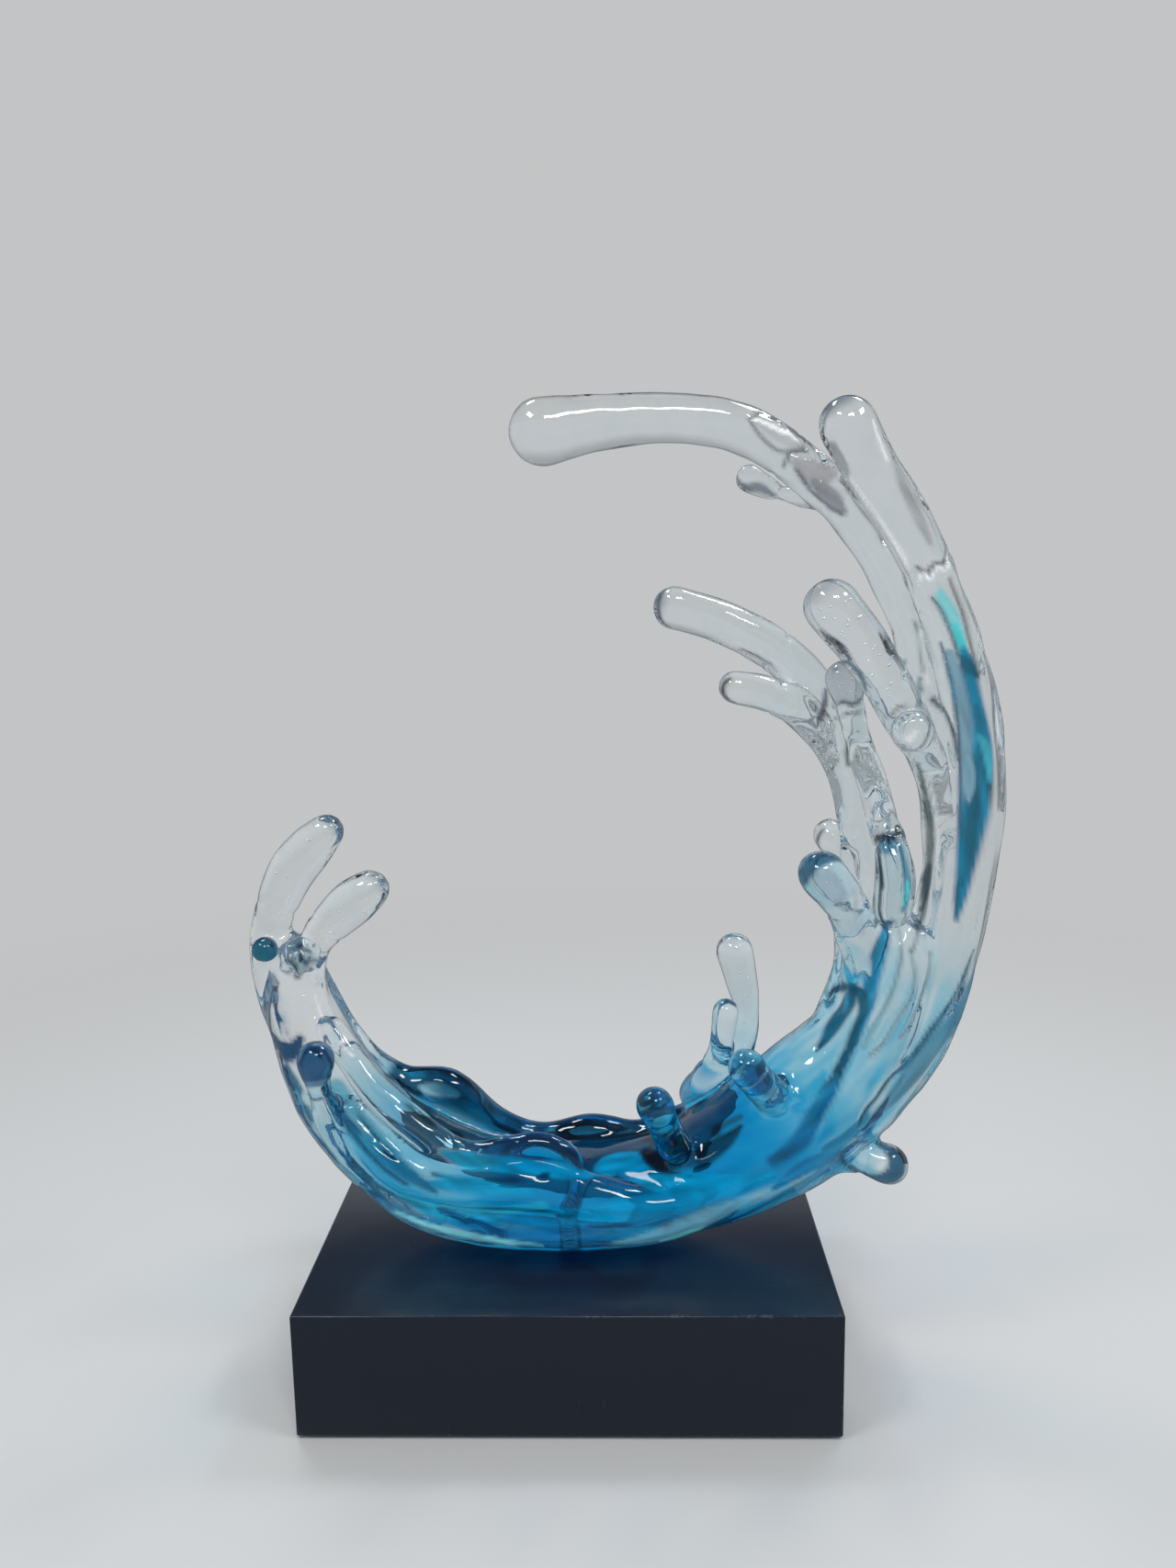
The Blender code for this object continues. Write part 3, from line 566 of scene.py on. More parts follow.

# Streaks of dye, of painted shade and of painted highlights, and the folds that go with them, each
# laid over those before it. A row has its dye, or a tint that isn't on the scale from clear to ink,
# or None for white; how far its fold stands proud in millimetres; and a path. The paths of these are
# in the photograph's pixels, as x, y and half width, and lie on the first skin that the camera sees
# there.
seenStreaks = {
    # the trough's front
    "cloudy blue": ((0.002, 0.34, 0.64), 0.0, [
        (500, 1262, 5), (545, 1267, 9), (590, 1272, 10), (632, 1270, 14), (668, 1266, 18),
        (695, 1270, 22), (720, 1284, 18), (765, 1290, 12), (810, 1286, 8), (840, 1278, 3)]),
    "cloudy belly": ((0.002, 0.42, 0.80), 0.0, [
        (470, 1310, 4), (520, 1322, 12), (580, 1327, 19), (640, 1327, 21), (700, 1322, 20),
        (750, 1308, 14), (800, 1296, 7)]),
    "cloudy left": ((0.03, 0.60, 0.90), 0.0, [
        (436, 1300, 4), (462, 1312, 8), (500, 1318, 11), (545, 1317, 12), (590, 1313, 8)]),
    "pale edge": ((0.30, 0.66, 0.82), 0.0, [
        (668, 1354, 2), (700, 1348, 6), (735, 1339, 10), (775, 1325, 14), (815, 1308, 13),
        (850, 1292, 11), (884, 1276, 5)]),
    # painted shade in the trough's channel and under the buds
    "channel": ((0.02, 0.07, 0.11), 0.0, [
        (578, 1226, 4), (620, 1230, 7), (660, 1231, 8), (700, 1234, 10), (740, 1237, 10), (780, 1230, 7),
        (806, 1216, 3)]),
    "under the buds": ((0.006, 0.016, 0.032), -0.4, [
        (703, 1254, 6), (716, 1262, 12), (742, 1264, 13), (770, 1255, 13), (792, 1240, 9),
        (806, 1226, 3)]),
    "crest": ((0.04, 0.14, 0.18), 0.0, [
        (548, 1254, 3), (575, 1240, 6), (600, 1243, 6), (622, 1258, 6), (632, 1270, 3)]),
    "crest line": (0.1, 0.4, [
        (522, 1252, 2), (548, 1238, 3), (574, 1229, 3), (600, 1232, 3), (620, 1245, 3), (641, 1262, 2)]),
    "inner blade": ((0.04, 0.10, 0.13), -0.4, [
        (418, 1199, 2), (445, 1207, 7), (470, 1220, 8), (498, 1234, 8), (530, 1241, 5), (560, 1243, 2)]),
    "lip line": (1.7, -0.5, [
        (470, 1278, 2), (513, 1286, 3), (553, 1285, 3), (592, 1281, 3), (636, 1268, 2)]),
    "deep left": ((0.004, 0.36, 0.64), 0.0, [
        (462, 1290, 4), (485, 1289, 8), (515, 1291, 9), (545, 1296, 7), (575, 1298, 4)]),
    "low band": (0.95, -0.3, [
        (478, 1316, 2), (520, 1333, 4), (574, 1340, 4), (630, 1340, 4), (690, 1334, 2)]),
    # the trough's right end and the buds on it
    "blue shoulder": (1.25, 0.0, [
        (845, 1292, 5), (870, 1275, 11), (895, 1263, 13), (914, 1256, 11), (926, 1249, 5)]),
    "second fold": (2.1, -0.4, [
        (931, 1080, 4), (924, 1088, 10), (915, 1102, 12), (906, 1117, 11), (898, 1130, 7),
        (889, 1143, 2)]),
    "right shade": (0.86, 0.0, [(868, 1208, 6), (878, 1200, 10), (888, 1184, 8), (896, 1168, 4)]),
    "horn root": ((0.02, 0.22, 0.38), -0.3, [
        (900, 1250, 6), (914, 1243, 9), (928, 1232, 8), (940, 1219, 6), (946, 1210, 2)]),
    "horn foot": ((0.01, 0.24, 0.44), 0.0, [
        (892, 1264, 6), (902, 1260, 11), (911, 1260, 10), (918, 1264, 5)]),
    # painted shade under the left bud, down its stem
    "bud stem": ((0.006, 0.04, 0.09), 0.0, [(734, 1238, 7), (742, 1252, 11), (749, 1263, 9)]),
    "tip root": (0.9, -0.3, [(918, 1048, 3), (921, 1058, 8), (926, 1068, 7), (936, 1062, 4)]),
    "blue strand": (1.45, 0.6, [
        (961, 1012, 8), (958, 1030, 11), (954, 1050, 13), (950, 1072, 12), (944, 1096, 9),
        (938, 1114, 6), (931, 1136, 3)]),
    "left bud": ((0.08, 0.38, 0.50), 0.0, [
        (694, 1190, 8), (702, 1204, 16), (712, 1220, 12), (724, 1236, 7)]),
    "right bud": ((0.04, 0.18, 0.28), 0.0, [
        (808, 1150, 8), (816, 1163, 17), (830, 1178, 14), (842, 1192, 7)]),
    # the bud that faces the viewer: its grey tint and dark facets are painted shade
    "facing bud": ((0.26, 0.40, 0.46), 0.0, [(324, 1030, 9), (327, 1043, 19), (326, 1058, 9)]),
    "bud facet left": ((0.01, 0.04, 0.07), 0.0, [(306, 1034, 2), (314, 1046, 4), (322, 1052, 3)]),
    "bud facet top": ((0.02, 0.05, 0.08), 0.0, [(316, 1024, 2), (327, 1030, 4), (338, 1036, 2)]),
    "bud facet low": ((0.01, 0.03, 0.05), 0.0, [(311, 1057, 2), (324, 1062, 4), (338, 1054, 2)]),
    "bud facet middle": ((0.01, 0.04, 0.08), 0.0, [(326, 1040, 2), (333, 1048, 3), (344, 1046, 2)]),
    # the right body, the blue tip and the horn
    "tip body": ((0.40, 0.54, 0.66), 0.0, [(890, 950, 8), (900, 958, 12), (912, 974, 12), (920, 990, 3)]),
    "crotch": (2.4, -1.2, [
        (902, 1085, 3), (909, 1076, 5), (921, 1075, 6), (934, 1080, 7), (939, 1092, 7), (937, 1106, 6),
        (931, 1121, 6), (924, 1142, 6), (915, 1161, 6), (907, 1180, 7), (898, 1196, 8), (890, 1210, 4)]),
    "crotch foot": (1.6, -0.8, [
        (910, 1172, 3), (899, 1194, 9), (889, 1212, 10), (880, 1228, 11), (872, 1242, 12),
        (858, 1254, 10), (842, 1264, 7)]),
    "left of rim": (0.45, 0.0, [(943, 1150, 6), (934, 1175, 11), (926, 1200, 12), (915, 1225, 8)]),
    "beside the strand": (0.36, 0.0, [
        (974, 1010, 4), (974, 1040, 9), (969, 1070, 10), (960, 1100, 8), (950, 1125, 4)]),
    "below the tip": (0.34, 0.0, [(920, 1024, 5), (930, 1038, 11), (938, 1050, 10), (944, 1058, 3)]),
    "pane line left": ((0.16, 0.32, 0.36), -0.9, [
        (977, 1012, 1.5), (981, 1042, 2), (973, 1074, 2.4), (962, 1099, 2.4), (949, 1121, 2.4),
        (940, 1141, 1.5)]),
    "pane line right": ((0.16, 0.30, 0.34), -0.9, [
        (991, 1034, 1.5), (996, 1064, 2), (990, 1089, 2.4), (977, 1111, 2.4), (962, 1136, 2.4),
        (946, 1150, 1.5)]),
    "far pane line": ((0.22, 0.30, 0.33), -0.8, [
        (1013, 1036, 1.5), (1009, 1072, 2.4), (996, 1104, 2.4), (980, 1130, 1.5)]),
    "rim": ((0.05, 0.22, 0.36), 0.7, [
        (1062, 1050, 3), (1054, 1074, 8), (1042, 1104, 12), (1019, 1136, 13), (992, 1168, 14),
        (970, 1194, 12), (952, 1214, 9), (941, 1228, 5)]),
    "rim line": (2.2, -0.8, [
        (1060, 1034, 1.5), (1051, 1058, 2), (1042, 1080, 2.4), (1026, 1105, 3), (1013, 1122, 3),
        (1001, 1139, 3), (986, 1158, 3), (970, 1174, 3), (955, 1196, 3), (942, 1211, 3),
        (936, 1226, 2)]),
    # the horn's ball: the whiter lens is a painted highlight, the dark crescent and edge painted shade
    "horn lens": ((0.80, 0.90, 0.93), 0.2, [
        (926, 1252, 3), (940, 1257, 9), (953, 1263, 10), (960, 1271, 6)]),
    "horn crescent": ((0.006, 0.045, 0.11), 0.0, [
        (957, 1246, 4), (971, 1254, 9), (978, 1266, 12), (973, 1279, 12), (957, 1284, 9), (940, 1279, 5),
        (928, 1270, 2)]),
    "horn edge": ((0.02, 0.06, 0.08), -0.7, [
        (944, 1244, 1.5), (930, 1245, 2.4), (918, 1254, 2.4), (919, 1266, 2.4), (930, 1276, 2)]),
    "tip side": ((0.60, 0.70, 0.80), 0.0, [(924, 956, 4), (932, 974, 6), (936, 996, 6), (937, 1016, 4)]),
    "tip cap": ((0.010, 0.065, 0.14), 0.0, [
        (872, 966, 6), (873, 953, 13), (881, 940, 14), (898, 933, 10), (913, 935, 5)]),
    # the left plume
    "navy patch": ((0.001, 0.015, 0.07), -0.4, [
        (300, 1134, 8), (308, 1144, 13), (318, 1144, 12), (326, 1132, 6)]),
    "left teal": ((0.01, 0.10, 0.22), -0.3, [
        (312, 1162, 6), (319, 1178, 9), (328, 1198, 9), (339, 1219, 4)]),
    "left blue": ((0.002, 0.12, 0.29), -0.6, [
        (356, 1180, 5), (366, 1198, 9), (380, 1217, 11), (398, 1238, 12), (420, 1258, 11),
        (446, 1280, 8), (474, 1298, 3)]),
    "left navy": ((0.004, 0.02, 0.10), -0.5, [
        (372, 1205, 3), (386, 1219, 7), (400, 1233, 7), (412, 1248, 3)]),
    "left upper": ((0.06, 0.32, 0.46), -0.5, [
        (357, 1166, 6), (367, 1184, 9), (387, 1210, 8), (409, 1235, 8), (432, 1257, 5)]),
    "left deep": ((0.01, 0.20, 0.36), -0.3, [
        (396, 1238, 4), (406, 1246, 7), (418, 1250, 7), (430, 1256, 3)]),
    "lip end": ((0.003, 0.03, 0.07), 0.0, [
        (418, 1168, 2), (431, 1174, 6), (444, 1182, 8), (456, 1190, 4)]),
    "left fine": (2.2, -0.8, [
        (352, 1186, 1.5), (368, 1212, 2), (390, 1243, 2.4), (414, 1270, 2.4), (442, 1290, 2)]),
    "left fork": (2.2, -0.8, [(358, 1172, 1.5), (376, 1198, 2), (398, 1222, 2), (428, 1257, 2)]),
    "left pale": (0.15, 0.3, [
        (362, 1130, 8), (386, 1165, 13), (414, 1196, 15), (446, 1232, 14), (484, 1258, 10),
        (524, 1266, 4)]),
    "cloudy lip": ((0.02, 0.42, 0.66), 0.0, [
        (482, 1254, 4), (496, 1260, 8), (512, 1264, 10), (526, 1266, 8), (540, 1268, 3)]),
    "left rim": (0.3, 0.6, [
        (334, 1196, 7), (350, 1230, 10), (378, 1270, 11), (416, 1304, 10), (470, 1334, 6),
        (560, 1354, 3)]),
    "left line": (1.1, -0.7, [
        (322, 1190, 2), (345, 1238, 3), (378, 1284, 3), (424, 1312, 3), (480, 1332, 2)]),
    # the ribbon of dye in the outer strand: the cyan line and cyan outer line are painted shade, and its
    # light and lens are painted highlights
    "cyan": ((0.14, 0.88, 0.93), -0.3, [
        (1023, 646, 5), (1030, 660, 8), (1038, 676, 8), (1045, 694, 8), (1049, 708, 6)]),
    "cyan core": ((0.02, 0.90, 0.97), -0.4, [(1039, 681, 3), (1045, 697, 6), (1050, 711, 5)]),
    "cyan line": ((0.05, 0.10, 0.14), -0.9, [
        (1014, 650, 1.5), (1026, 668, 2), (1036, 692, 2), (1043, 714, 2)]),
    "cyan outer line": ((0.14, 0.14, 0.15), -1.0, [
        (1034, 630, 1.5), (1042, 652, 2), (1052, 680, 2.4), (1060, 706, 2.4), (1067, 732, 2)]),
    "ribbon grey": ((0.11, 0.31, 0.46), -0.3, [
        (1033, 712, 6), (1041, 740, 9), (1047, 770, 10), (1052, 805, 10), (1052, 845, 9), (1050, 890, 6),
        (1046, 930, 2)]),
    "ribbon": (1.5, -0.4, [
        (1050, 708, 4), (1054, 722, 10), (1058, 742, 9), (1063, 765, 9), (1068, 790, 10),
        (1070, 812, 12), (1069, 845, 14), (1063, 880, 17), (1056, 915, 15), (1051, 948, 11),
        (1046, 975, 8), (1041, 1002, 2)]),
    "ribbon top": (2.1, -0.3, [(1046, 716, 3), (1053, 724, 8), (1061, 730, 6), (1066, 738, 2)]),
    "ribbon core": (2.0, -0.3, [
        (1062, 768, 2), (1067, 796, 4), (1064, 830, 4), (1060, 870, 6), (1056, 910, 8), (1051, 945, 5),
        (1047, 965, 1)]),
    "ribbon light": ((0.01, 0.40, 0.64), 0.4, [
        (1066, 802, 2), (1072, 812, 4), (1076, 828, 4), (1077, 850, 1)]),
    "ribbon lens": ((0.13, 0.40, 0.62), 0.3, [
        (1053, 822, 1), (1055, 838, 5), (1055, 856, 5), (1054, 872, 1)]),
    "ribbon line": (1.9, -0.8, [
        (1024, 700, 1.5), (1036, 745, 2), (1042, 790, 2), (1044, 840, 2), (1045, 890, 2), (1044, 930, 2),
        (1040, 1000, 1.5)]),
    # the top arm's bond: its grey lens, facets, point, band, folds, groove and edges are painted shade,
    # and the ridge is relief only
    "arm lens": ((0.62, 0.63, 0.64), 0.5, [(826, 459, 4), (845, 469, 10), (862, 481, 8)]),
    "arm lens edge": ((0.16, 0.17, 0.18), -0.7, [
        (816, 456, 1.5), (832, 451, 2), (856, 460, 2), (874, 476, 2), (868, 490, 2), (848, 491, 2),
        (830, 477, 2), (816, 458, 1.5)]),
    "arm fold": ((0.10, 0.11, 0.12), -0.9, [(853, 507, 2), (862, 492, 3), (878, 489, 3), (898, 487, 2)]),
    "warm facet": ((0.42, 0.38, 0.40), 0.6, [
        (866, 503, 5), (880, 511, 11), (894, 518, 11), (906, 516, 6)]),
    "grey facet": ((0.26, 0.28, 0.29), -0.6, [
        (906, 487, 7), (912, 500, 9), (919, 512, 7), (925, 521, 3)]),
    "arm point": ((0.20, 0.20, 0.23), 0.5, [(886, 524, 4), (898, 535, 9), (908, 545, 9), (919, 557, 3)]),
    "arm point edge": ((0.07, 0.07, 0.10), -0.8, [
        (867, 512, 2), (884, 535, 2.4), (900, 550, 2.4), (917, 559, 2)]),
    "drop shade": ((0.12, 0.15, 0.17), -0.4, [
        (802, 520, 3), (812, 531, 5), (826, 531, 6), (842, 540, 3)]),
    "finger band": ((0.46, 0.48, 0.50), -0.3, [
        (972, 496, 2), (984, 528, 6), (999, 560, 7), (1012, 590, 3)]),
    "arm ridge": ((1.0, 1.0, 1.0), 1.0, [
        (925, 520, 2), (944, 548, 2.4), (967, 581, 2.4), (992, 624, 2.4), (1004, 676, 2.4),
        (1011, 728, 2.4), (1014, 756, 2)]),
    "arm groove": ((0.20, 0.24, 0.26), -0.9, [
        (921, 528, 1.5), (938, 554, 2), (960, 588, 2), (984, 630, 2), (997, 680, 2), (1004, 730, 1.5)]),
    # the fingers on the right: the dark folds, ring, olive strand, lines, lens, notch, crescents and fork
    # are painted shade, and the glint is a painted highlight
    "middle fold": ((0.03, 0.06, 0.10), -0.8, [
        (1004, 763, 2), (1016, 762, 4), (1028, 776, 4), (1036, 798, 4), (1041, 826, 2)]),
    "drop ring": ((0.16, 0.18, 0.20), -0.9, [
        (966, 795, 2), (969, 779, 2), (981, 769, 2), (997, 769, 2), (1010, 779, 2), (1013, 794, 2),
        (1007, 809, 2.4), (994, 818, 2.4), (980, 815, 2), (969, 806, 2)]),
    "olive": ((0.09, 0.12, 0.11), -0.7, [
        (998, 832, 3), (1003, 850, 5), (1007, 876, 7), (1009, 905, 8), (1009, 935, 8), (1005, 975, 7),
        (999, 1008, 5), (994, 1036, 2)]),
    "olive dark": ((0.01, 0.02, 0.03), -0.4, [
        (1008, 944, 5), (1006, 957, 8), (1004, 972, 6), (1000, 990, 3)]),
    "hanging top": ((0.05, 0.22, 0.38), 0.0, [(956, 920, 6), (966, 922, 9), (977, 920, 6)]),
    "hanging collar": ((0.002, 0.01, 0.04), -0.9, [
        (952, 912, 5), (959, 911, 7), (967, 911, 7), (975, 909, 6), (984, 906, 4)]),
    "hanging line": ((0.02, 0.05, 0.14), -0.6, [(957, 925, 2), (957, 946, 3), (960, 966, 2)]),
    "hanging side": ((0.02, 0.22, 0.40), -0.3, [
        (981, 922, 2), (986, 945, 4), (989, 970, 5), (983, 991, 3)]),
    "hanging glint": ((0.02, 0.95, 1.0), 0.0, [(988, 960, 2), (988, 972, 3), (985, 984, 2)]),
    "hanging notch": (2.0, -0.3, [(952, 1003, 3), (962, 1007, 6), (972, 1003, 3)]),
    "seam shadow": ((0.05, 0.07, 0.09), -0.9, [
        (998, 618, 2), (1008, 624, 3), (1018, 615, 3), (1026, 614, 3), (1031, 598, 2)]),
    "ball collar": ((0.04, 0.045, 0.05), -0.8, [
        (908, 769, 2), (917, 765, 3), (927, 767, 3), (938, 762, 3), (943, 770, 2)]),
    "ball collar low": ((0.06, 0.065, 0.07), -0.6, [(910, 782, 2), (922, 777, 2), (936, 775, 2)]),
    "ball crescent": ((0.04, 0.09, 0.15), -0.2, [
        (909, 728, 2), (919, 721, 3), (930, 728, 4), (939, 741, 4), (942, 752, 2)]),
    "middle lens": ((0.03, 0.05, 0.06), -0.7, [
        (959, 690, 3), (966, 701, 5), (974, 710, 5), (984, 721, 2)]),
    "middle sliver": ((0.07, 0.20, 0.22), -0.5, [
        (1001, 738, 2), (1000, 750, 5), (1002, 764, 4), (1004, 770, 1)]),
    "middle notch": ((0.04, 0.04, 0.06), -0.7, [
        (893, 687, 2), (901, 695, 6), (912, 703, 6), (925, 718, 3)]),
    "upper line": ((0.03, 0.03, 0.035), -0.8, [
        (806, 707, 2), (822, 714, 2.4), (838, 724, 2.4), (847, 731, 2)]),
    "lower crescent": ((0.01, 0.015, 0.02), -0.2, [
        (795, 739, 2), (788, 745, 3), (787, 753, 3.5), (791, 760, 3), (800, 765, 1.5)]),
    "upper crescent": ((0.05, 0.06, 0.07), -0.2, [
        (724, 642, 1.5), (718, 652, 3), (716, 664, 3.5), (720, 676, 3), (727, 682, 2)]),
    "small crescent": ((0.03, 0.05, 0.06), 0.0, [
        (896, 903, 1.5), (891, 910, 2.4), (890, 918, 2.4), (894, 925, 1.5)]),
    "outer crescent": ((0.16, 0.18, 0.20), 0.0, [
        (909, 439, 1.5), (901, 447, 2.4), (897, 457, 2.4), (897, 470, 1.5)]),
    "finger fork": ((0.05, 0.05, 0.09), -0.7, [
        (899, 750, 2), (898, 765, 4), (894, 779, 5), (890, 787, 2)]),
    "stem line": ((0.03, 0.04, 0.04), -0.6, [(921, 807, 2), (921, 819, 3), (923, 833, 2)]),
    "outer line": ((0.14, 0.14, 0.16), -0.6, [
        (1072, 712, 2), (1080, 748, 2.4), (1084, 790, 2.4), (1087, 830, 2.4), (1087, 880, 2)]),
    # whitish frosted lines along bonds and edges, which are partly painted highlights
    "arm bond line": (None, 0.6, [
        (927, 522, 1.5), (940, 541, 2.4), (955, 563, 3), (972, 588, 3), (986, 612, 3), (996, 650, 2.4),
        (1004, 690, 2.4), (1010, 744, 1.5)]),
    "seam line": (None, 0.3, [
        (1000, 640, 1), (1004, 624, 1.5), (1012, 630, 1.5), (1021, 617, 1.5), (1029, 619, 1.5),
        (1032, 601, 1)]),
    "arm facet line": (None, 0.3, [(822, 457, 1.5), (840, 465, 2), (858, 474, 2), (867, 479, 1)]),
    "finger edge line": (None, 0.2, [(950, 458, 1), (956, 477, 1.5), (966, 501, 1)]),
    "upper bond line": (None, 0.3, [
        (790, 703, 1), (812, 707, 1.5), (834, 719, 1.5), (850, 733, 2), (862, 743, 1.5)]),
    "olive left line": (None, 0.3, [(992, 823, 1), (998, 846, 1.5), (1002, 868, 1)]),
    "olive right line": (None, 0.3, [(1009, 842, 1), (1016, 872, 1.5), (1019, 908, 1.5), (1019, 945, 1)]),
    "outer edge line": (None, 0.2, [(1083, 752, 1), (1086, 782, 1.5), (1088, 812, 1)]),
    # lines of light
    "green light": ((0.20, 1.0, 0.92), 0.0, [
        (720, 1350, 1.5), (740, 1345, 3), (762, 1338, 3), (782, 1331, 1.5)]),
    "lower light": ((0.28, 0.86, 0.95), 0.0, [
        (430, 1318, 1.5), (470, 1335, 3), (515, 1346, 3.5), (555, 1352, 3), (590, 1356, 1.5)]),
    "drop light": (None, 0.0, [(973, 798, 2), (980, 805, 4), (990, 804, 4), (998, 797, 2)]),
    "left edge line": (None, 0.3, [(343, 1085, 1), (352, 1107, 1.5), (372, 1138, 1.5), (384, 1150, 1)]),
}

# The paths of these are in millimetres, as x, y, height above the base and half width. They are laid
# first.
deepStreaks = {
    "back lip": (2.0, 0.0, [
        (-120, 22, 98, 3), (-106, 27, 88, 13), (-80, 32, 80, 17), (-52, 36, 58, 15), (-20, 39, 45, 14),
        (13, 39, 48, 14), (45, 39, 45, 14), (74, 34, 56, 11), (98, 28, 66, 3)]),
    "sprig foot": (0.25, 0.0, [
        (104, 28, 112, 13), (97, 28, 98, 17), (88, 26, 88, 18), (78, 23, 80, 17), (68, 22, 75, 12)]),
    # the lip lens is paler dye in the dark back lip: a painted highlight
    "lip lens": (0.4, -0.6, [(-92, 19, 84, 2.5), (-82, 19, 83, 5.0), (-70, 21, 79, 2)]),
    # the skirt's pale aqua tint is painted light, for the caustics that the resin throws there
    "skirt": ((0.45, 0.80, 0.86), 0.3, [
        (22, -47, 18, 2), (53, -47, 22, 4.5), (85, -46, 28, 5.5), (117, -42, 36, 5.5),
        (143, -34, 47, 4)]),
}

# Fingers that aren't on the scale.
fingerTints = {"ball_tip": (0.62, 0.68, 0.72), "left_low_bud": (0.05, 0.16, 0.33)}

# Bonds and sharp edges that show whitish, partly as painted highlights, places where the dye is cloudy,
# and the painted lines of light, each with how much so.
frostAndHighlightShares = {
    "arm bond line": 0.9, "seam line": 0.8, "arm facet line": 0.9, "finger edge line": 0.6,
    "upper bond line": 0.8, "olive left line": 0.6, "olive right line": 0.7, "outer edge line": 0.6,
    "drop light": 0.45, "left edge line": 0.6, "cloudy blue": 0.6, "cloudy belly": 0.3,
    "cloudy left": 0.4, "cloudy lip": 0.55, "deep left": 0.3, "pale edge": 0.4, "green light": 0.9,
    "horn lens": 0.12, "lower light": 0.8,
}

# Where the skin is puckered: middle, how far out, and how high, in millimetres.
puckers = [
    ((-148, -36, 186), 16, 1.9), ((129, -34, 98), 10, 1.2), ((165, -6, 312), 9, 1.0),
    ((203, -16, 392), 13, 0.8), ((-146, -12, 184), 8, 0.6), ((180, -36, 238), 10, 0.4),
    ((176, -14, 52), 9, 0.5), ((124, 1, 470), 11, 1.4), ((144, 2, 453), 13, 2.0),
    ((155, 3, 433), 11, 1.6), ((150, -42, 353), 7, 0.6), ((-147, -14, 160), 13, 0.8),
]

# How the dye runs through the wave's body. Turns round the curl are in degrees, distances from its
# middle in millimetres, and a pair says where a change begins and where it is complete.
bodyDye = {
    "trough": 0.98,
    "leftEnd": (-64, -38),         # the left end is clear
    "rightSide": (22, 54),
    "rightSidePaler": 0.62,
    "plume": (58, 86),
    "plumePaler": 0.88,
    "outerRim": (203, 216),
    "rimPaler": 0.15,
    "rimRises": (12, 34),          # the rim is paler still on both sides
    "rimRisesPaler": 0.3,
    "innerLeft": (207, 193),
    "innerLeftTurns": (-20, -34),
    "innerLeftPaler": 0.6,
    "least": 0.015,
    "fluteShare": 0.12,            # how much darker a flute and a line of grain are
    "grainShare": 0.08,
    "unevenFrom": (0.05, 0.4),     # clear resin shows neither
    "unevenTurns": (15, 50),
    "unevenGain": (0.5, 0.8),
}

# The skin's relief: flutes and grain run with the flow, dimples lie anywhere. Heights and lengths
# are in millimetres.
reliefSizes = {
    "circle": (32, 218, 210),      # x and height of the middle of the wave's curl, and its radius
    "fluteHeight": 0.55,
    "fluteLengths": (10, 24),
    "flowLengths": (140, 320),
    "flutes": 16,
    "fluteGain": (0.2, 0.45, 1.2),  # in the trough, and what the left and the right end add
    "fluteLeft": (-40, -60),
    "fluteRight": (40, 75),
    "grainLengths": (5, 11),       # finer lines, of dye only
    "grainFlow": (45, 120),
    "grains": 14,
    "dimpleHeight": 0.16,          # the slow unevenness of a poured surface
    "dimpleLengths": (14, 34),
    "dimples": 14,
    "puckerLengths": (6, 10),
    "puckerWaves": 8,
    "puckerCore": 0.4,             # the share of its reach that is fully puckered
    "seed": 11,
}

# A bonded finger: where its own dye replaces the body's, and the groove that its seam leaves.
bondSizes = {
    "margin": 5,
    "skinDepth": (3.5, 1.5),       # how far from its own skin the dye still counts
    "past": (1.06, 0.98),          # how far along it towards the bond
    # painted shade: the end of a clear finger is darkened over this span
    "tipShadeEnd": (0.30, 0.80),        # where its end darkens, ahead of the tip's middle, over its radius
    "smoother": 0.7,               # what it lacks of the body's flutes
    "seamDepth": 0.85,
    "seamWidth": 1.7,
    "seamWobble": 1.6,
    "seamReach": (6, 2),
}

# How a streak fades out at its sides, in millimetres, and how uneven its dye is.
streakSizes = {
    "thinnest": 0.3,        # half width
    "margin": 3,
    "fadesAt": 1.3,         # beyond the half width
    "solidShare": 0.75,
    "solidLess": 0.6,       # solid as far as this share of the half width, less this
    "uneven": 0.22,
    "tintLimit": 1.2,
}


def flowPlaces(points):
    # distance from the middle of the curl in millimetres, and the turn round it in degrees
    x, height = points[:, 0] - reliefSizes["circle"][0], points[:, 2] - reliefSizes["circle"][1]
    return np.hypot(x, height), np.degrees(np.arctan2(x, -height))


def flowWaves(points, lengths, flow, count, rng):
    # the sum of waves that are short across the curl and long with its flow, about 1 high
    out, angle = flowPlaces(points)
    way = np.radians(angle) * reliefSizes["circle"][2]
    height = np.zeros(len(points))
    for _ in range(count):
        lean = rng.uniform(0, 2 * math.pi)
        across = (out * math.cos(lean) + points[:, 1] * math.sin(lean)) / rng.uniform(*lengths)
        height += np.sin(2 * math.pi * (across + way / rng.uniform(*flow)) + rng.uniform(0, 2 * math.pi))
    return height / math.sqrt(count)


def dyeOfBody(points, flutes, grain, setting):
    # blue in the trough, paler up both ends and along the outer rim
    out, angle = flowPlaces(points)
    right = 1 - softStep(*setting["rightSide"], angle) * setting["rightSidePaler"]
    plume = 1 - softStep(*setting["plume"], angle) * setting["plumePaler"]
    dye = setting["trough"] * softStep(*setting["leftEnd"], angle) * right * plume
    rises = softStep(*setting["rimRises"], np.abs(angle))
    rim = softStep(*setting["outerRim"], out) * (setting["rimPaler"] + setting["rimRisesPaler"] * rises)
    inner = setting["innerLeftPaler"] * softStep(*setting["innerLeft"], out)
    dye *= (1 - rim) * (1 - inner * softStep(*setting["innerLeftTurns"], angle))
    uneven = setting["fluteShare"] * flutes + setting["grainShare"] * grain
    uneven *= softStep(*setting["unevenFrom"], dye)
    least, more = setting["unevenGain"]
    dye += setting["least"] + uneven * (least + more * softStep(*setting["unevenTurns"], angle))
    return dye


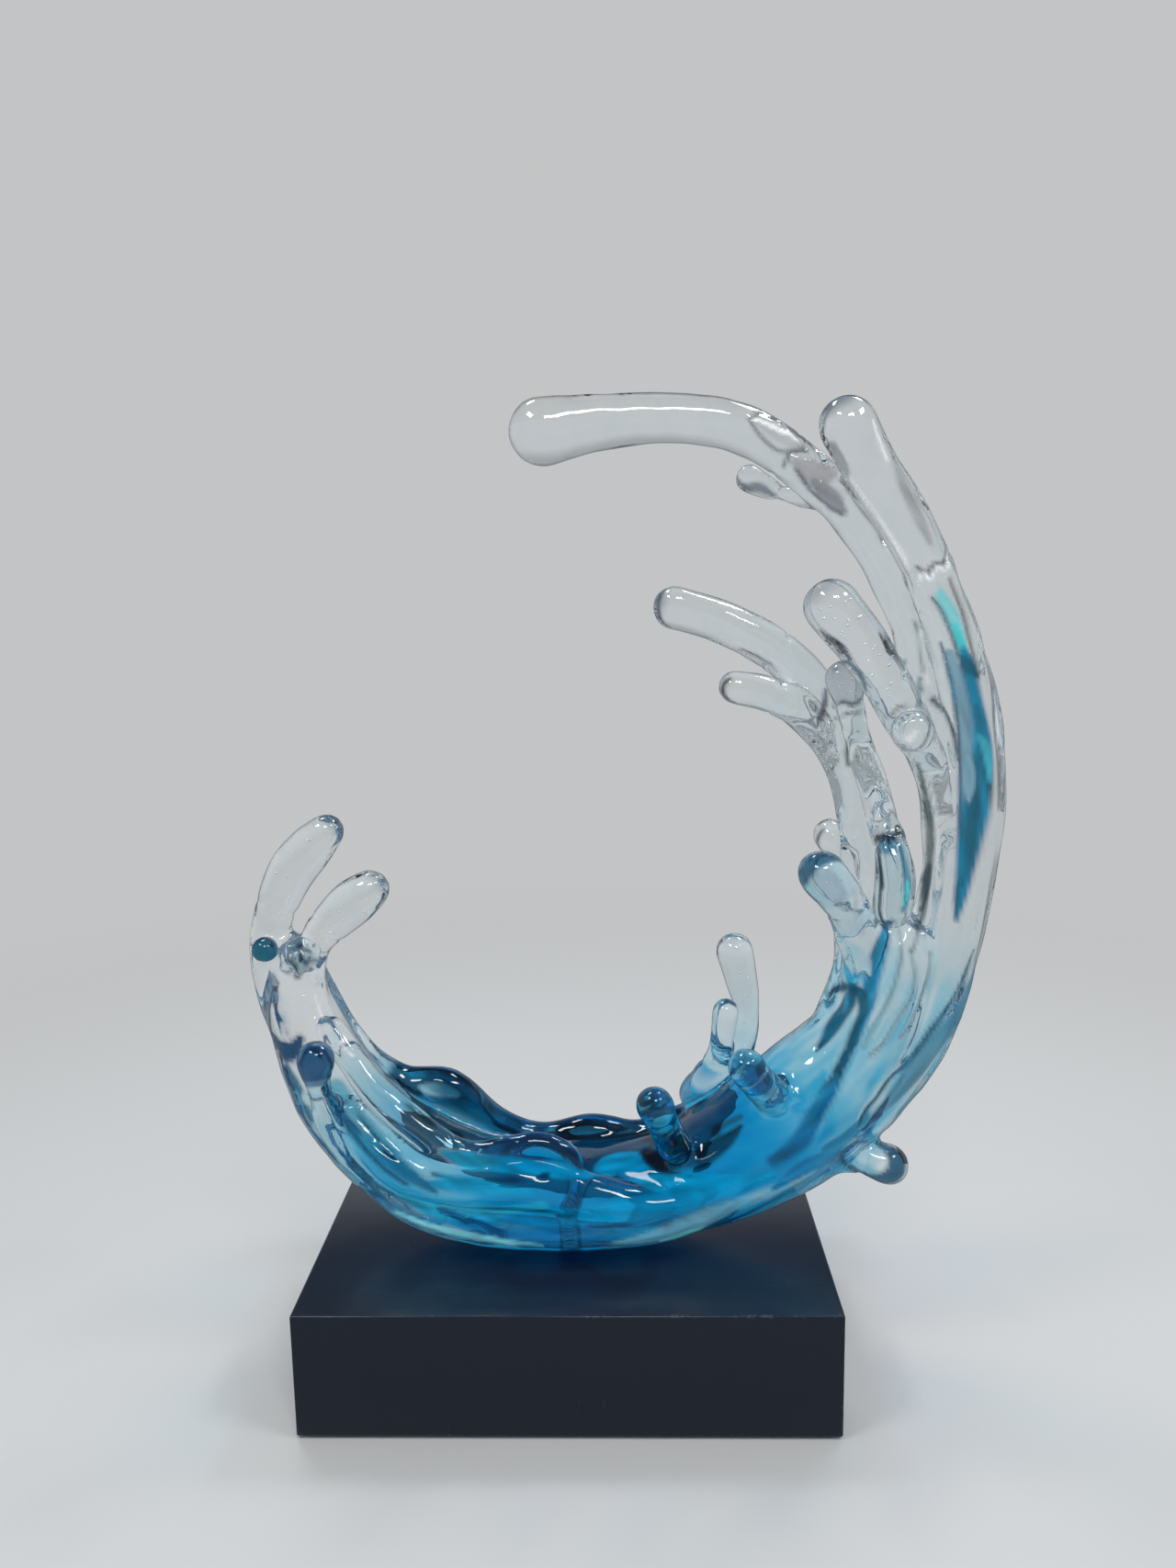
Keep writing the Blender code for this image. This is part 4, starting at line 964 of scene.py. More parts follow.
def bondFingers(points, dye, relief, dimples, steps):
    # gives each finger its dye and its seam, and says which points it holds, how fully, and how
    # much painted shade darkens them at its tip
    sizes = bondSizes
    finger = np.zeros(len(points))
    castings = {}
    for name, (bond, atTip, atBond, tipShadeStrength) in fingerDyesAndTipShades.items():
        strand = curveThrough(fingers[name], steps)
        near = nearby(points, strand, sizes["margin"])
        away, radius, along = nearStrand(points[near], strand)
        share = along / steps / bond
        mine = softStep(*sizes["skinDepth"], np.abs(away - radius)) * softStep(*sizes["past"], share)
        dye[near] += mine * (atTip + np.clip(share, 0, 1) * (atBond - atTip) - dye[near])
        finger[near] = np.maximum(finger[near], mine)
        tip = (strand[0] - strand[1])[:3]
        ahead = (points[near] - strand[0][:3]) @ tip / np.linalg.norm(tip) / strand[0][3]
        castings[name] = (near, mine, mine * tipShadeStrength * softStep(*sizes["tipShadeEnd"], ahead))
        # the seam: a wavering groove round the strand at its bond
        step = len(strand) * bond / (len(fingers[name]) - 1)
        row = min(int(step), len(strand) - 2)
        middle = strand[row] + (step - row) * (strand[row + 1] - strand[row])
        ahead = strand[row + 1][:3] - strand[row][:3]
        ahead /= np.linalg.norm(ahead)
        offset = (points[near] - middle[:3]) @ ahead + sizes["seamWobble"] * dimples[near]
        fades, full = sizes["seamReach"]
        within = softStep(middle[3] + fades, middle[3] + full, away)
        relief[near] -= sizes["seamDepth"] * np.exp(-(offset / sizes["seamWidth"]) ** 2) * within
    relief *= 1 - sizes["smoother"] * finger
    return castings


def carriedOntoSkin(skin):
    # the streaks that the photograph shows, each point on the first skin that the camera sees there
    found = {}
    eye = camera.matrix_world.translation
    focal = cameraSetting["focalPixels"]
    for name, (look, proud, pixels) in seenStreaks.items():
        path = []
        for x, y, half in pixels:
            place, _, _, away = skin.ray_cast(eye, throughPixel(x, y))
            if place is not None:
                path.append((place.x / mm, place.y / mm, (place.z - baseTop) / mm, half * away / focal / mm))
        found[name] = (look, proud, path)
    return found


def dyeTint(dye):
    return np.stack([np.interp(dye, dyeSteps, dyeTints[:, k]) for k in range(3)], 1)


def streakTint(look, uneven):
    # look is a dye, a tint of its own or None, as the tables say
    if look is None:
        return 1.0
    if isinstance(look, tuple):
        return np.array(look) * np.clip(uneven, 0, streakSizes["tintLimit"])[:, None]
    return dyeTint(look * uneven)


def layStreaks(points, skin, grain, tint, frostAndHighlight, relief, steps):
    sizes = streakSizes
    for name, (look, proud, path) in {**deepStreaks, **carriedOntoSkin(skin)}.items():
        strand = curveThrough(path, steps)
        strand[:, 3] = np.maximum(strand[:, 3], sizes["thinnest"])
        near = nearby(points, strand, sizes["margin"])
        away, radius, _ = nearStrand(points[near], strand)
        mask = softStep(radius + sizes["fadesAt"], radius * sizes["solidShare"] - sizes["solidLess"], away)
        own = streakTint(look, 1 + sizes["uneven"] * grain[near])
        tint[near] += mask[:, None] * (own - tint[near])
        relief[near] += proud * mask
        frostAndHighlight[near] += mask * (frostAndHighlightShares.get(name, 0) - frostAndHighlight[near])


def dyePaintedLightAndRelief(points, skin, steps):
    # the tint, painted shade and highlights included, and the frost of each point of the skin, and how far
    # it stands proud
    sizes = reliefSizes
    rng = np.random.default_rng(sizes["seed"])
    dimples = slowWaves(points, sizes["dimpleLengths"], sizes["dimples"], rng)
    flutes = flowWaves(points, sizes["fluteLengths"], sizes["flowLengths"], sizes["flutes"], rng)
    grain = flowWaves(points, sizes["grainLengths"], sizes["grainFlow"], sizes["grains"], rng)
    dye = dyeOfBody(points, flutes, grain, bodyDye)
    _, angle = flowPlaces(points)
    least, left, right = sizes["fluteGain"]
    gain = least + left * softStep(*sizes["fluteLeft"], angle)
    gain += right * softStep(*sizes["fluteRight"], angle)
    relief = sizes["fluteHeight"] * flutes * gain
    castings = bondFingers(points, dye, relief, dimples, steps)
    relief += sizes["dimpleHeight"] * dimples

    tint = dyeTint(dye)
    frostAndHighlight = np.zeros(len(points))
    for name, (near, mine, darker) in castings.items():
        if name in fingerTints:
            tint[near] += mine[:, None] * (np.array(fingerTints[name]) - tint[near])
        # painted shade darkens the ends of the clear fingers
        tint[near] *= 1 - darker[:, None] * (1 - tipShadeTint)
    layStreaks(points, skin, grain, tint, frostAndHighlight, relief, steps)
    for middle, reach, height in puckers:
        away = np.linalg.norm(points - middle, axis=1)
        near = np.flatnonzero(away < reach)
        folds = slowWaves(points[near], sizes["puckerLengths"], sizes["puckerWaves"], rng)
        relief[near] += height * folds * softStep(reach, reach * sizes["puckerCore"], away[near])
    return np.column_stack((tint, frostAndHighlight)), relief


def castWave(sizes):
    paths = (*fingers.values(), *folds.values())
    strands = [curveThrough(path, sizes["stepsPerPoint"]) for path in paths]
    for strand in strands:
        strand[:, 3] -= sizes["drawnIn"] / strand[:, 3]
    body = curveThrough(trough, sizes["stepsPerPoint"])
    every = np.vstack(strands)
    edge = every[:, 3:4] + 2 * sizes["cell"] + 3 * sizes["softness"]
    low = np.minimum((every[:, :3] - edge).min(0), sizes["leastCorner"])
    grid = CastingGrid(low, (every[:, :3] + edge).max(0), sizes["cell"], sizes["reach"])
    for strand in strands:
        grid.pourStrand(strand)
    grid.pourTrough(body)
    grid.soften(sizes["softness"])
    report("wave poured")

    # the milled seat keeps its sharp edge
    height = grid.low[2] + grid.cell * np.arange(grid.values.shape[2])
    seat = (seatHeight - baseTop) / mm
    grid.values = np.maximum(grid.values, (seat - height)[None, None, :]).astype(np.float32)

    points, quads = grid.skin()
    for _ in range(sizes["relaxed"]):
        points = relax(points, quads)
        found, slope = grid.sample(points)
        points -= slope * (found / np.maximum((slope ** 2).sum(1), sizes["slopeLimit"]))[:, None]
    found, slope = grid.sample(points)
    outward = slope / np.maximum(np.linalg.norm(slope, axis=1), 1e-6)[:, None]
    lift = np.array((0, 0, baseTop))
    skin = BVHTree.FromPolygons((points * mm + lift).tolist(), quads.tolist())
    dye, relief = dyePaintedLightAndRelief(points, skin, sizes["stepsPerPoint"])
    free = np.clip((points[:, 2] - seat) / sizes["seatFree"], 0, 1)
    points += outward * (relief * free)[:, None]
    points = points * mm + lift

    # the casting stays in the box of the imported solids
    cast = [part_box(name) for name in ("wave_body", *fingers)]
    points = np.clip(points, np.min([box[0] for box in cast], 0), np.max([box[1] for box in cast], 0))
    mesh = bpy.data.meshes.new("resin_wave")
    mesh.from_pydata(points.tolist(), [], quads.tolist())
    mesh.shade_smooth()
    # the dye attribute holds the tint with its painted shade and painted highlights, and the frost in its
    # alpha
    mesh.attributes.new("dye", "FLOAT_COLOR", "POINT").data.foreach_set("color", dye.ravel())
    mesh.update()
    return mesh


# The resin takes its tint from the dye attribute, which also holds painted shade and painted
# highlights, and the dye scatters a little light. Its edges go grey: painted shade where the skin is
# seen edge on. Here and in the other finishes, a noise has its scale and detail, and a rise has where
# it begins and ends.
resinSetting = {
    "ior": 1.5,
    "roughness": 0.01,
    "wisps": {"Scale": 70.0, "Detail": 3.0},
    "wispsRise": (0.35, 0.75),
    "wispTint": (0.95, 0.97, 0.98),
    "edgeShadeTint": (0.10, 0.13, 0.15),
    "edgeRises": (0.52, 0.93),     # from 0 where the skin is seen face on to 1 where it is seen edge on
    "scatter": 0.07,               # how much of the light a full dye scatters
    "scatterRises": (0.6, 0.0),    # over the tint's red
    "seatRoughness": 0.45,         # the seat is milled and not polished
    "seatRises": (1.5, 0.2),       # millimetres above it
}


def makeResin(setting):
    made, start = newFinish("resin")
    dye = start.node("ShaderNodeAttribute", {"attribute_name": "dye"}, {}, "Color")
    place = objectPlace(start)
    wisps = place.noise(setting["wisps"]).rise(*setting["wispsRise"])
    cloudy = wisps.blend(white, shade(setting["wispTint"]))
    # painted shade: the skin goes grey where it is seen edge on
    facing = start.node("ShaderNodeLayerWeight", {}, {"Blend": 0.5}, "Facing")
    paintedEdgeShade = facing.rise(*setting["edgeRises"]).blend(white, shade(setting["edgeShadeTint"]))
    colour = dye.tinted(cloudy).tinted(paintedEdgeShade)
    height = start.node("ShaderNodeSeparateXYZ", {}, {0: place}, "Z")
    milled = height.rise(*[seatHeight + above * mm for above in setting["seatRises"]])
    rough = milled * (setting["seatRoughness"] - setting["roughness"]) + setting["roughness"]
    glass = start.node("ShaderNodeBsdfPrincipled", {}, {
        "Base Color": colour, "Roughness": rough, "IOR": setting["ior"], "Transmission Weight": 1.0})
    # the dye scatters most where it lets no red through, and frosted resin and painted highlights go
    # whitish as its alpha says
    red = start.node("ShaderNodeSeparateColor", {}, {0: dye}, "Red")
    scattered = red.rise(*setting["scatterRises"]) * setting["scatter"]
    milkAndHighlight = scattered.maths("MAXIMUM", scattered, dye.other("Alpha"))
    seen = milkAndHighlight.mixed(glass, start.node("ShaderNodeBsdfDiffuse", {}, {"Color": colour}))
    # lamps reach what is behind the resin, tinted
    path = start.node("ShaderNodeLightPath", {}, {}, "Is Shadow Ray")
    lit = path.maths("MAXIMUM", path, path.other("Is Diffuse Ray"))
    endFinish(start, lit.mixed(seen, start.node("ShaderNodeBsdfTransparent", {}, {"Color": colour})))
    return made


resin = makeResin(resinSetting)
wave = addPiece("resin_wave", castWave(waveSizes), resin, "blue_resin", "wave_body", *fingers)
report(f"wave cast, {sum(len(f.vertices) - 2 for f in wave.data.polygons)} triangles")

# The glue in the hole that is drilled for the rod: a round-topped sleeve, a little darker. Sizes
# are in millimetres.
glueSizes = {
    "radius": 6.5,
    "aboveSeat": 0.4,
    "aboveRod": 3.0,
    "roundedBy": 2.5,
    "roundedAt": (30, 60, 90),     # degrees
    "sides": 40,
    "streaks": {"Scale": 160.0, "Detail": 2.0},
    "streaksRise": (0.3, 0.7),
    "tint": (0.72, 0.80, 0.86),
    "streaksDarker": 0.7,
}


def lathe(profile, sides, name):
    # turns (radius, height) points round the z axis; the first and last lie on it
    bm = bmesh.new()
    rings = []
    for radius, height in profile:
        if radius == 0:
            rings.append([bm.verts.new((0, 0, height))])
            continue
        turns = [2 * math.pi * k / sides for k in range(sides)]
        rings.append([bm.verts.new((radius * math.cos(t), radius * math.sin(t), height)) for t in turns])
    for ring, after in zip(rings, rings[1:]):
        for k in range(sides):
            corners = (ring[k % len(ring)], ring[(k + 1) % len(ring)],
                       after[(k + 1) % len(after)], after[k % len(after)])
            bm.faces.new(list(dict.fromkeys(corners)))
    bmesh.ops.recalc_face_normals(bm, faces=bm.faces)
    mesh = meshFrom(bm, name)
    mesh.shade_smooth()
    return mesh


def makeGlueFinish(setting):
    made, start = newFinish("glue")
    streaky = objectPlace(start).noise(setting["streaks"]).rise(*setting["streaksRise"])
    colour = streaky.blend(shade(setting["tint"]), shade(setting["tint"], setting["streaksDarker"]))
    endFinish(start, start.node("ShaderNodeBsdfTransparent", {}, {"Color": colour}))
    return made


def makeSleeve(sizes):
    radius, rounded = sizes["radius"] * mm, sizes["roundedBy"] * mm
    bottom, top = seatHeight + sizes["aboveSeat"] * mm, rodHigh.z + sizes["aboveRod"] * mm
    profile = [(0, bottom), (radius, bottom), (radius, top - rounded)]
    for turn in sizes["roundedAt"]:
        inset = rounded * (1 - math.cos(math.radians(turn)))
        profile.append((radius - inset, top - rounded * (1 - math.sin(math.radians(turn)))))
    return lathe(profile + [(0, top)], sizes["sides"], "rod_glue")


addPiece("rod_glue", makeSleeve(glueSizes), makeGlueFinish(glueSizes), "tinted_resin")

# Small bubbles that the poured resin kept, scattered down a strand by Geometry Nodes: how many, how
# far they drift, the least and the largest radius in millimetres, and a seed.
bubbleSizes = {
    "middle_finger": (46, 8.5, 0.25, 0.75, 4),
    "left_outer_finger": (12, 6.5, 0.2, 0.5, 8),
    "left_inner_finger": (14, 6.0, 0.2, 0.5, 9),
    "tall_sprig": (8, 5.0, 0.25, 0.5, 2),
    "blue_tip": (8, 6.0, 0.25, 0.5, 3),
    "ball_tip": (10, 4.0, 0.25, 0.6, 6),
}
airSetting = {
    "mist": {"Scale": 900.0},
    "tint": (0.9, 0.94, 0.95),
    "roughness": 0.38,
}


def newTree(name, sockets):
    # a Geometry Nodes tree and a Wire from its inputs
    tree = bpy.data.node_groups.new(name, "GeometryNodeTree")
    for label, kind in sockets.items():
        tree.interface.new_socket(name=label, in_out="INPUT", socket_type=f"NodeSocket{kind}")
    tree.interface.new_socket(name="Geometry", in_out="OUTPUT", socket_type="NodeSocketGeometry")
    return tree, Wire(tree).node("NodeGroupInput")


def endTree(given, shape, smooth):
    shaded = given.node("GeometryNodeSetShadeSmooth", {}, {"Geometry": shape, "Shade Smooth": smooth})
    real = given.node("GeometryNodeRealizeInstances", {}, {"Geometry": shaded})
    finish = given.other("Finish")
    painted = given.node("GeometryNodeSetMaterial", {}, {"Geometry": real, "Material": finish})
    given.node("NodeGroupOutput", {}, {"Geometry": painted})


def makeBubbleTree():
    tree, given = newTree("bubbles", {
        "Path": "Geometry", "Count": "Int", "Spread": "Float", "Smallest": "Float", "Largest": "Float",
        "Seed": "Int", "Finish": "Material"})
    curve = given.node("GeometryNodeMeshToCurve", {}, {"Mesh": given.other("Path")})
    spots = given.node("GeometryNodeResampleCurve", {}, {"Curve": curve, "Count": given.other("Count")})
    spots = given.node("GeometryNodeCurveToPoints", {"mode": "EVALUATED"}, {"Curve": spots})
    spread = given.other("Spread")
    widest = given.node("ShaderNodeCombineXYZ", {}, {0: spread, 1: spread, 2: spread})
    narrowest = given.node("ShaderNodeVectorMath", {"operation": "SCALE"}, {0: widest, "Scale": -1.0})
    drift = given.node("FunctionNodeRandomValue", {"data_type": "FLOAT_VECTOR"}, {
        0: narrowest, 1: widest, "Seed": given.other("Seed")})
    # no bubble drifts further than the spread
    long = given.node("ShaderNodeVectorMath", {"operation": "LENGTH"}, {0: drift}, "Value")
    short = long.maths("MINIMUM", long.maths("DIVIDE", spread, long), 1.0)
    drift = given.node("ShaderNodeVectorMath", {"operation": "SCALE"}, {0: drift, "Scale": short})
    spots = given.node("GeometryNodeSetPosition", {}, {"Geometry": spots, "Offset": drift})
    ball = given.node("GeometryNodeMeshIcoSphere", {}, {"Radius": 1.0, "Subdivisions": 2})
    size = given.node("FunctionNodeRandomValue", {"data_type": "FLOAT"}, {
        2: given.other("Smallest"), 3: given.other("Largest"), "Seed": given.other("Seed") + 1}, 1)
    balls = given.node("GeometryNodeInstanceOnPoints", {}, {
        "Points": spots, "Instance": ball, "Scale": size})
    endTree(given, balls, True)
    return tree


def applied(source, name):
    # the evaluated mesh of an object, which is then removed
    seen = source.evaluated_get(bpy.context.evaluated_depsgraph_get())
    mesh = bpy.data.meshes.new_from_object(seen)
    mesh.name = name
    bpy.data.objects.remove(source)
    return mesh


def grownFrom(tree, mesh, inputs, name):
    # runs a tree on a mesh and keeps the result as a plain mesh
    host = loose(name, mesh)
    grow = host.modifiers.new(name, "NODES")
    grow.node_group = tree
    for item in tree.interface.items_tree:
        if item.in_out == "INPUT" and item.name in inputs:
            grow[item.identifier] = inputs[item.name]
    return applied(host, name)


def strandLine(name):
    # the middle line of a finger as far as its bond, in metres
    rows = curveThrough(fingers[name], waveSizes["stepsPerPoint"])
    last = int(waveSizes["stepsPerPoint"] * fingerDyesAndTipShades[name][0]) + 2
    spots = rows[:last, :3] * mm + np.array((0, 0, baseTop))
    mesh = bpy.data.meshes.new(name)
    mesh.from_pydata(spots.tolist(), [(k, k + 1) for k in range(len(spots) - 1)], [])
    return mesh


def makeAir(setting):
    # a bubble in resin mirrors what is round it
    made, start = newFinish("air")
    colour = objectPlace(start).noise(setting["mist"]).blend(shade(setting["tint"]), white)
    endPrincipled(start, {"Base Color": colour, "Roughness": setting["roughness"], "Metallic": 1.0})
    return made


air = makeAir(airSetting)
bubbleTree = makeBubbleTree()
for name, (count, spread, least, largest, seed) in bubbleSizes.items():
    inputs = {"Count": count, "Spread": spread * mm, "Smallest": least * mm, "Largest": largest * mm,
              "Seed": seed, "Finish": air}
    bubbles = grownFrom(bubbleTree, strandLine(name), inputs, f"bubbles_{name}")
    addPiece(f"bubbles_{name}", bubbles, air, "clear_resin")
report("glue and bubbles")

# The base's lacquered box, one skin over its mitred panels. Sizes are in millimetres.
boxSizes = {
    "wall": 12.0,
    "hollowBelow": 100,    # how far the hollow goes on, so that the box is open below
    "ease": 1.1,
    "easeSteps": 3,
    "easeFrom": 50,        # degrees between two faces
    "sharpFrom": 35,
    "rodClearance": 0.3,
    "holeSides": 48,
}
lacquerSetting = {
    "colour": (0.011, 0.017, 0.030),
    "worn": (0.05, 0.065, 0.085),
    "roughness": 0.22,
    "scuffRoughness": 0.5,
    "specular": 0.4,
    "edgeNear": (4, 0.4),          # millimetres from a face
    "edgeRises": (0.55, 1.3),
    "patches": {"Scale": 35.0, "Detail": 6.0, "Roughness": 0.7},
    "patchesWear": (0.50, 0.66),
    "patchesScuff": (0.52, 0.70),
    "chips": {"Scale": 420.0, "Detail": 3.0},
    "chipsWear": (0.40, 0.62),
    "scratches": {"Scale": 1.0, "Detail": 2.0},
    "scratchTurns": (0.35, 1.25),  # radians
    "scratchLean": 0.6,
    "scratchScale": (900.0, 26.0, 60.0),
    "scratchesRise": (0.70, 0.80),
    "scuffShows": 0.25,            # how much a scuff tells in the colour and in the gloss
    "scuffDulls": 0.5,
    "dust": {"Scale": 9.0, "Detail": 4.0},
    "dustDulls": 0.12,
    "peel": {"Scale": 260.0, "Detail": 2.0},
    "chipHeight": 0.3,
    "bump": (0.05, 0.0006),
}


def boxMesh(low, high):
    bm = bmesh.new()
    bmesh.ops.create_cube(bm, size=1.0)
    for vertex in bm.verts:
        vertex.co = Vector([low[k] + (vertex.co[k] + 0.5) * (high[k] - low[k]) for k in range(3)])
    return meshFrom(bm, "block")


def tubeMesh(radius, low, high, sides):
    bm = bmesh.new()
    place = Matrix.Translation((0, 0, (low + high) / 2))
    bmesh.ops.create_cone(bm, cap_ends=True, segments=sides, radius1=radius, radius2=radius,
                          depth=high - low, matrix=place)
    return meshFrom(bm, "tube")


def makeBoxSkin(sizes):
    wall = Vector((1, 1, 1)) * sizes["wall"] * mm
    inside = boxMesh(baseLow + wall - Vector((0, 0, sizes["hollowBelow"] * mm)), baseHigh - wall)
    radius = rodHigh.x + sizes["rodClearance"] * mm
    hole = tubeMesh(radius, baseTop - 2 * wall.z, baseTop + wall.z, sizes["holeSides"])
    skin = loose("box", boxMesh(baseLow, baseHigh))
    cutters = [loose("hollow", inside), loose("rod hole", hole)]
    for cutter in cutters:
        cut = skin.modifiers.new(cutter.name, "BOOLEAN")
        cut.operation = "DIFFERENCE"
        cut.solver = "EXACT"
        cut.object = cutter
    ease = skin.modifiers.new("eased edges", "BEVEL")
    ease.width = sizes["ease"] * mm
    ease.segments = sizes["easeSteps"]
    ease.limit_method = "ANGLE"
    ease.angle_limit = math.radians(sizes["easeFrom"])
    mesh = applied(skin, "lacquered_box")
    for cutter in cutters:
        bpy.data.objects.remove(cutter)
    mesh.shade_smooth()
    mesh.set_sharp_from_angle(angle=math.radians(sizes["sharpFrom"]))
    return mesh


def nearEdges(parts, begins, full):
    # how near the skin is to the box's edges, from how many of its faces are close by
    middle = (baseLow + baseHigh) / 2
    half = (baseHigh - baseLow) / 2
    near = []
    for axis, name in enumerate("XYZ"):
        side = parts.other(name) - middle[axis]
        near.append(side.maths("ABSOLUTE", side).rise(half[axis] - begins * mm, half[axis] - full * mm))
    return near[0] * near[1] + near[1] * near[2] + near[2] * near[0]


def makeLacquer(setting):
    made, start = newFinish("lacquer")
    place = objectPlace(start)
    edge = nearEdges(start.node("ShaderNodeSeparateXYZ", {}, {0: place}), *setting["edgeNear"])
    patches = place.noise(setting["patches"])
    chips = place.noise(setting["chips"])
    worn = edge.rise(*setting["edgeRises"]) * patches.rise(*setting["patchesWear"])
    worn = worn * chips.rise(*setting["chipsWear"])
    # fine wiping scratches that cross in two directions
    scratches = []
    for turn in setting["scratchTurns"]:
        lines = start.node("ShaderNodeMapping", {}, {
            "Vector": place, "Rotation": (turn, turn * setting["scratchLean"], turn),
            "Scale": setting["scratchScale"]})
        scratches.append(lines.noise(setting["scratches"]).rise(*setting["scratchesRise"]))
    scuffed = sum(scratches[1:], scratches[0]) * patches.rise(*setting["patchesScuff"])
    shown = worn + scuffed * setting["scuffShows"]
    dulled = worn + scuffed * setting["scuffDulls"]
    dust = place.noise(setting["dust"]) - 0.5
    rough = dust * setting["dustDulls"] + setting["roughness"]
    rough = rough + dulled * (setting["scuffRoughness"] - setting["roughness"])
    endPrincipled(start, {
        "Base Color": shown.blend(shade(setting["colour"]), shade(setting["worn"])),
        "Roughness": rough,
        "Specular IOR Level": setting["specular"],
        "Normal": (place.noise(setting["peel"]) + chips * setting["chipHeight"]).bump(*setting["bump"])})
    return made


lacquer = makeLacquer(lacquerSetting)
panels = [f"base_{side}_panel" for side in ("top", "front", "back", "left", "right")]
addPiece("lacquered_box", makeBoxSkin(boxSizes), lacquer, "dark_lacquer", *panels)
report("base")

# The rod that holds the wave, with its thread, made by Geometry Nodes. The chamfer is the share of
# its radius that the thread's ends lose.
threadSizes = {
    "Pitch": 1.5 * mm,
    "Depth": 0.75 * mm,
    "Chamfer": 0.16,
    "Turns around": 40,
    "Rows per turn": 6,
}
zincSetting = {
    "bloom": {"Scale": 180.0, "Detail": 5.0},
    "bloomRises": (0.35, 0.7),
    "dark": (0.58, 0.59, 0.60),
    "light": (0.74, 0.74, 0.72),
    "roughness": 0.22,
    "bloomDulls": 0.25,
    "grain": {"Scale": 700.0},
    "bump": (0.08, 0.0002),
}


def makeThreadTree():
    tree, given = newTree("rod thread", {
        "Radius": "Float", "Bottom": "Float", "Length": "Float", "Pitch": "Float", "Depth": "Float",
        "Chamfer": "Float", "Turns around": "Int", "Rows per turn": "Int", "Finish": "Material"})
    length, pitch, radius = given.other("Length"), given.other("Pitch"), given.other("Radius")
    rows = length.maths("DIVIDE", length, pitch) * given.other("Rows per turn")
    blank = given.node("GeometryNodeMeshCylinder", {"fill_type": "NGON"}, {
        "Vertices": given.other("Turns around"), "Side Segments": rows, "Radius": radius, "Depth": length})
    x = given.node("ShaderNodeSeparateXYZ", {}, {0: given.node("GeometryNodeInputPosition")}, "X")
    y, z = x.other("Y"), x.other("Z")
    turn = x.maths("ARCTAN2", y, x) * (0.5 / math.pi)
    climb = z.maths("DIVIDE", z, pitch) - turn
    groove = climb.maths("PINGPONG", climb, 0.5) * 2
    inward = 1 - groove * radius.maths("DIVIDE", given.other("Depth"), radius)
    # the thread runs out at both ends of the rod
    runOut = (length * 0.5 - z.maths("ABSOLUTE", z)).between(0.0, pitch)
    factor = inward.maths("MINIMUM", inward, 1 - (1 - runOut) * given.other("Chamfer"))
    moved = given.node("ShaderNodeCombineXYZ", {}, {0: x * factor, 1: y * factor, 2: z})
    cut = given.node("GeometryNodeSetPosition", {}, {"Geometry": blank, "Position": moved})
    middle = given.node("ShaderNodeCombineXYZ", {}, {2: given.other("Bottom") + length * 0.5})
    endTree(given, given.node("GeometryNodeTransform", {}, {"Geometry": cut, "Translation": middle}), False)
    return tree


def makeZinc(setting):
    made, start = newFinish("zinc")
    place = objectPlace(start)
    bloom = place.noise(setting["bloom"])
    bloomed = bloom.rise(*setting["bloomRises"])
    grain = start.node("ShaderNodeTexVoronoi", {}, {"Vector": place, **setting["grain"]}, "Distance")
    endPrincipled(start, {
        "Base Color": bloomed.blend(shade(setting["dark"]), shade(setting["light"])),
        "Metallic": 1.0,
        "Roughness": bloom * setting["bloomDulls"] + setting["roughness"],
        "Normal": grain.bump(*setting["bump"])})
    return made


zinc = makeZinc(zincSetting)
rodSizes = {"Radius": rodHigh.x, "Bottom": rodLow.z, "Length": rodHigh.z - rodLow.z}
threadInputs = {**rodSizes, **threadSizes, "Finish": zinc}
threaded = grownFrom(makeThreadTree(), bpy.data.meshes.new("blank"), threadInputs, "threaded_rod_skin")
addPiece("threaded_rod_skin", threaded, zinc, "zinc_steel", "threaded_rod")
report("rod")

# Finishes of the solids that keep their own shape.
fibreboardSetting = {
    "fibres": {"Scale": 900.0, "Detail": 6.0, "Roughness": 0.7},
    "clouds": {"Scale": 30.0, "Detail": 3.0},
    "shares": (0.7, 0.3),          # of the fibres and the clouds in the colour
    "rises": (0.3, 0.7),
    "dark": (0.34, 0.23, 0.14),
    "light": (0.58, 0.44, 0.30),
    "roughness": 0.78,
    "cloudsDull": 0.1,
    "bump": (0.3, 0.0004),
}
feltSetting = {
    "fibres": {"Scale": 1600.0, "Detail": 4.0, "Distortion": 1.5},
    "mats": {"Scale": 120.0, "Detail": 3.0},
    "shares": (0.6, 0.4),          # of the fibres and the mats in the colour
    "rises": (0.3, 0.75),
    "dark": (0.012, 0.012, 0.014),
    "light": (0.06, 0.06, 0.066),
    "roughness": 0.95,
    "sheen": 0.3,
    "matHeight": 0.5,
    "bump": (0.6, 0.0005),
}


def fibrous(fibres, clouds, setting):
    # a colour between the dark and the light one
    ofFibres, ofClouds = setting["shares"]
    mottled = (fibres * ofFibres + clouds * ofClouds).rise(*setting["rises"])
    return mottled.blend(shade(setting["dark"]), shade(setting["light"]))


def makeFibreboard(setting):
    made, start = newFinish("fibreboard")
    place = objectPlace(start)
    fibres, clouds = place.noise(setting["fibres"]), place.noise(setting["clouds"])
    endPrincipled(start, {
        "Base Color": fibrous(fibres, clouds, setting),
        "Roughness": clouds * setting["cloudsDull"] + setting["roughness"],
        "Normal": fibres.bump(*setting["bump"])})
    return made


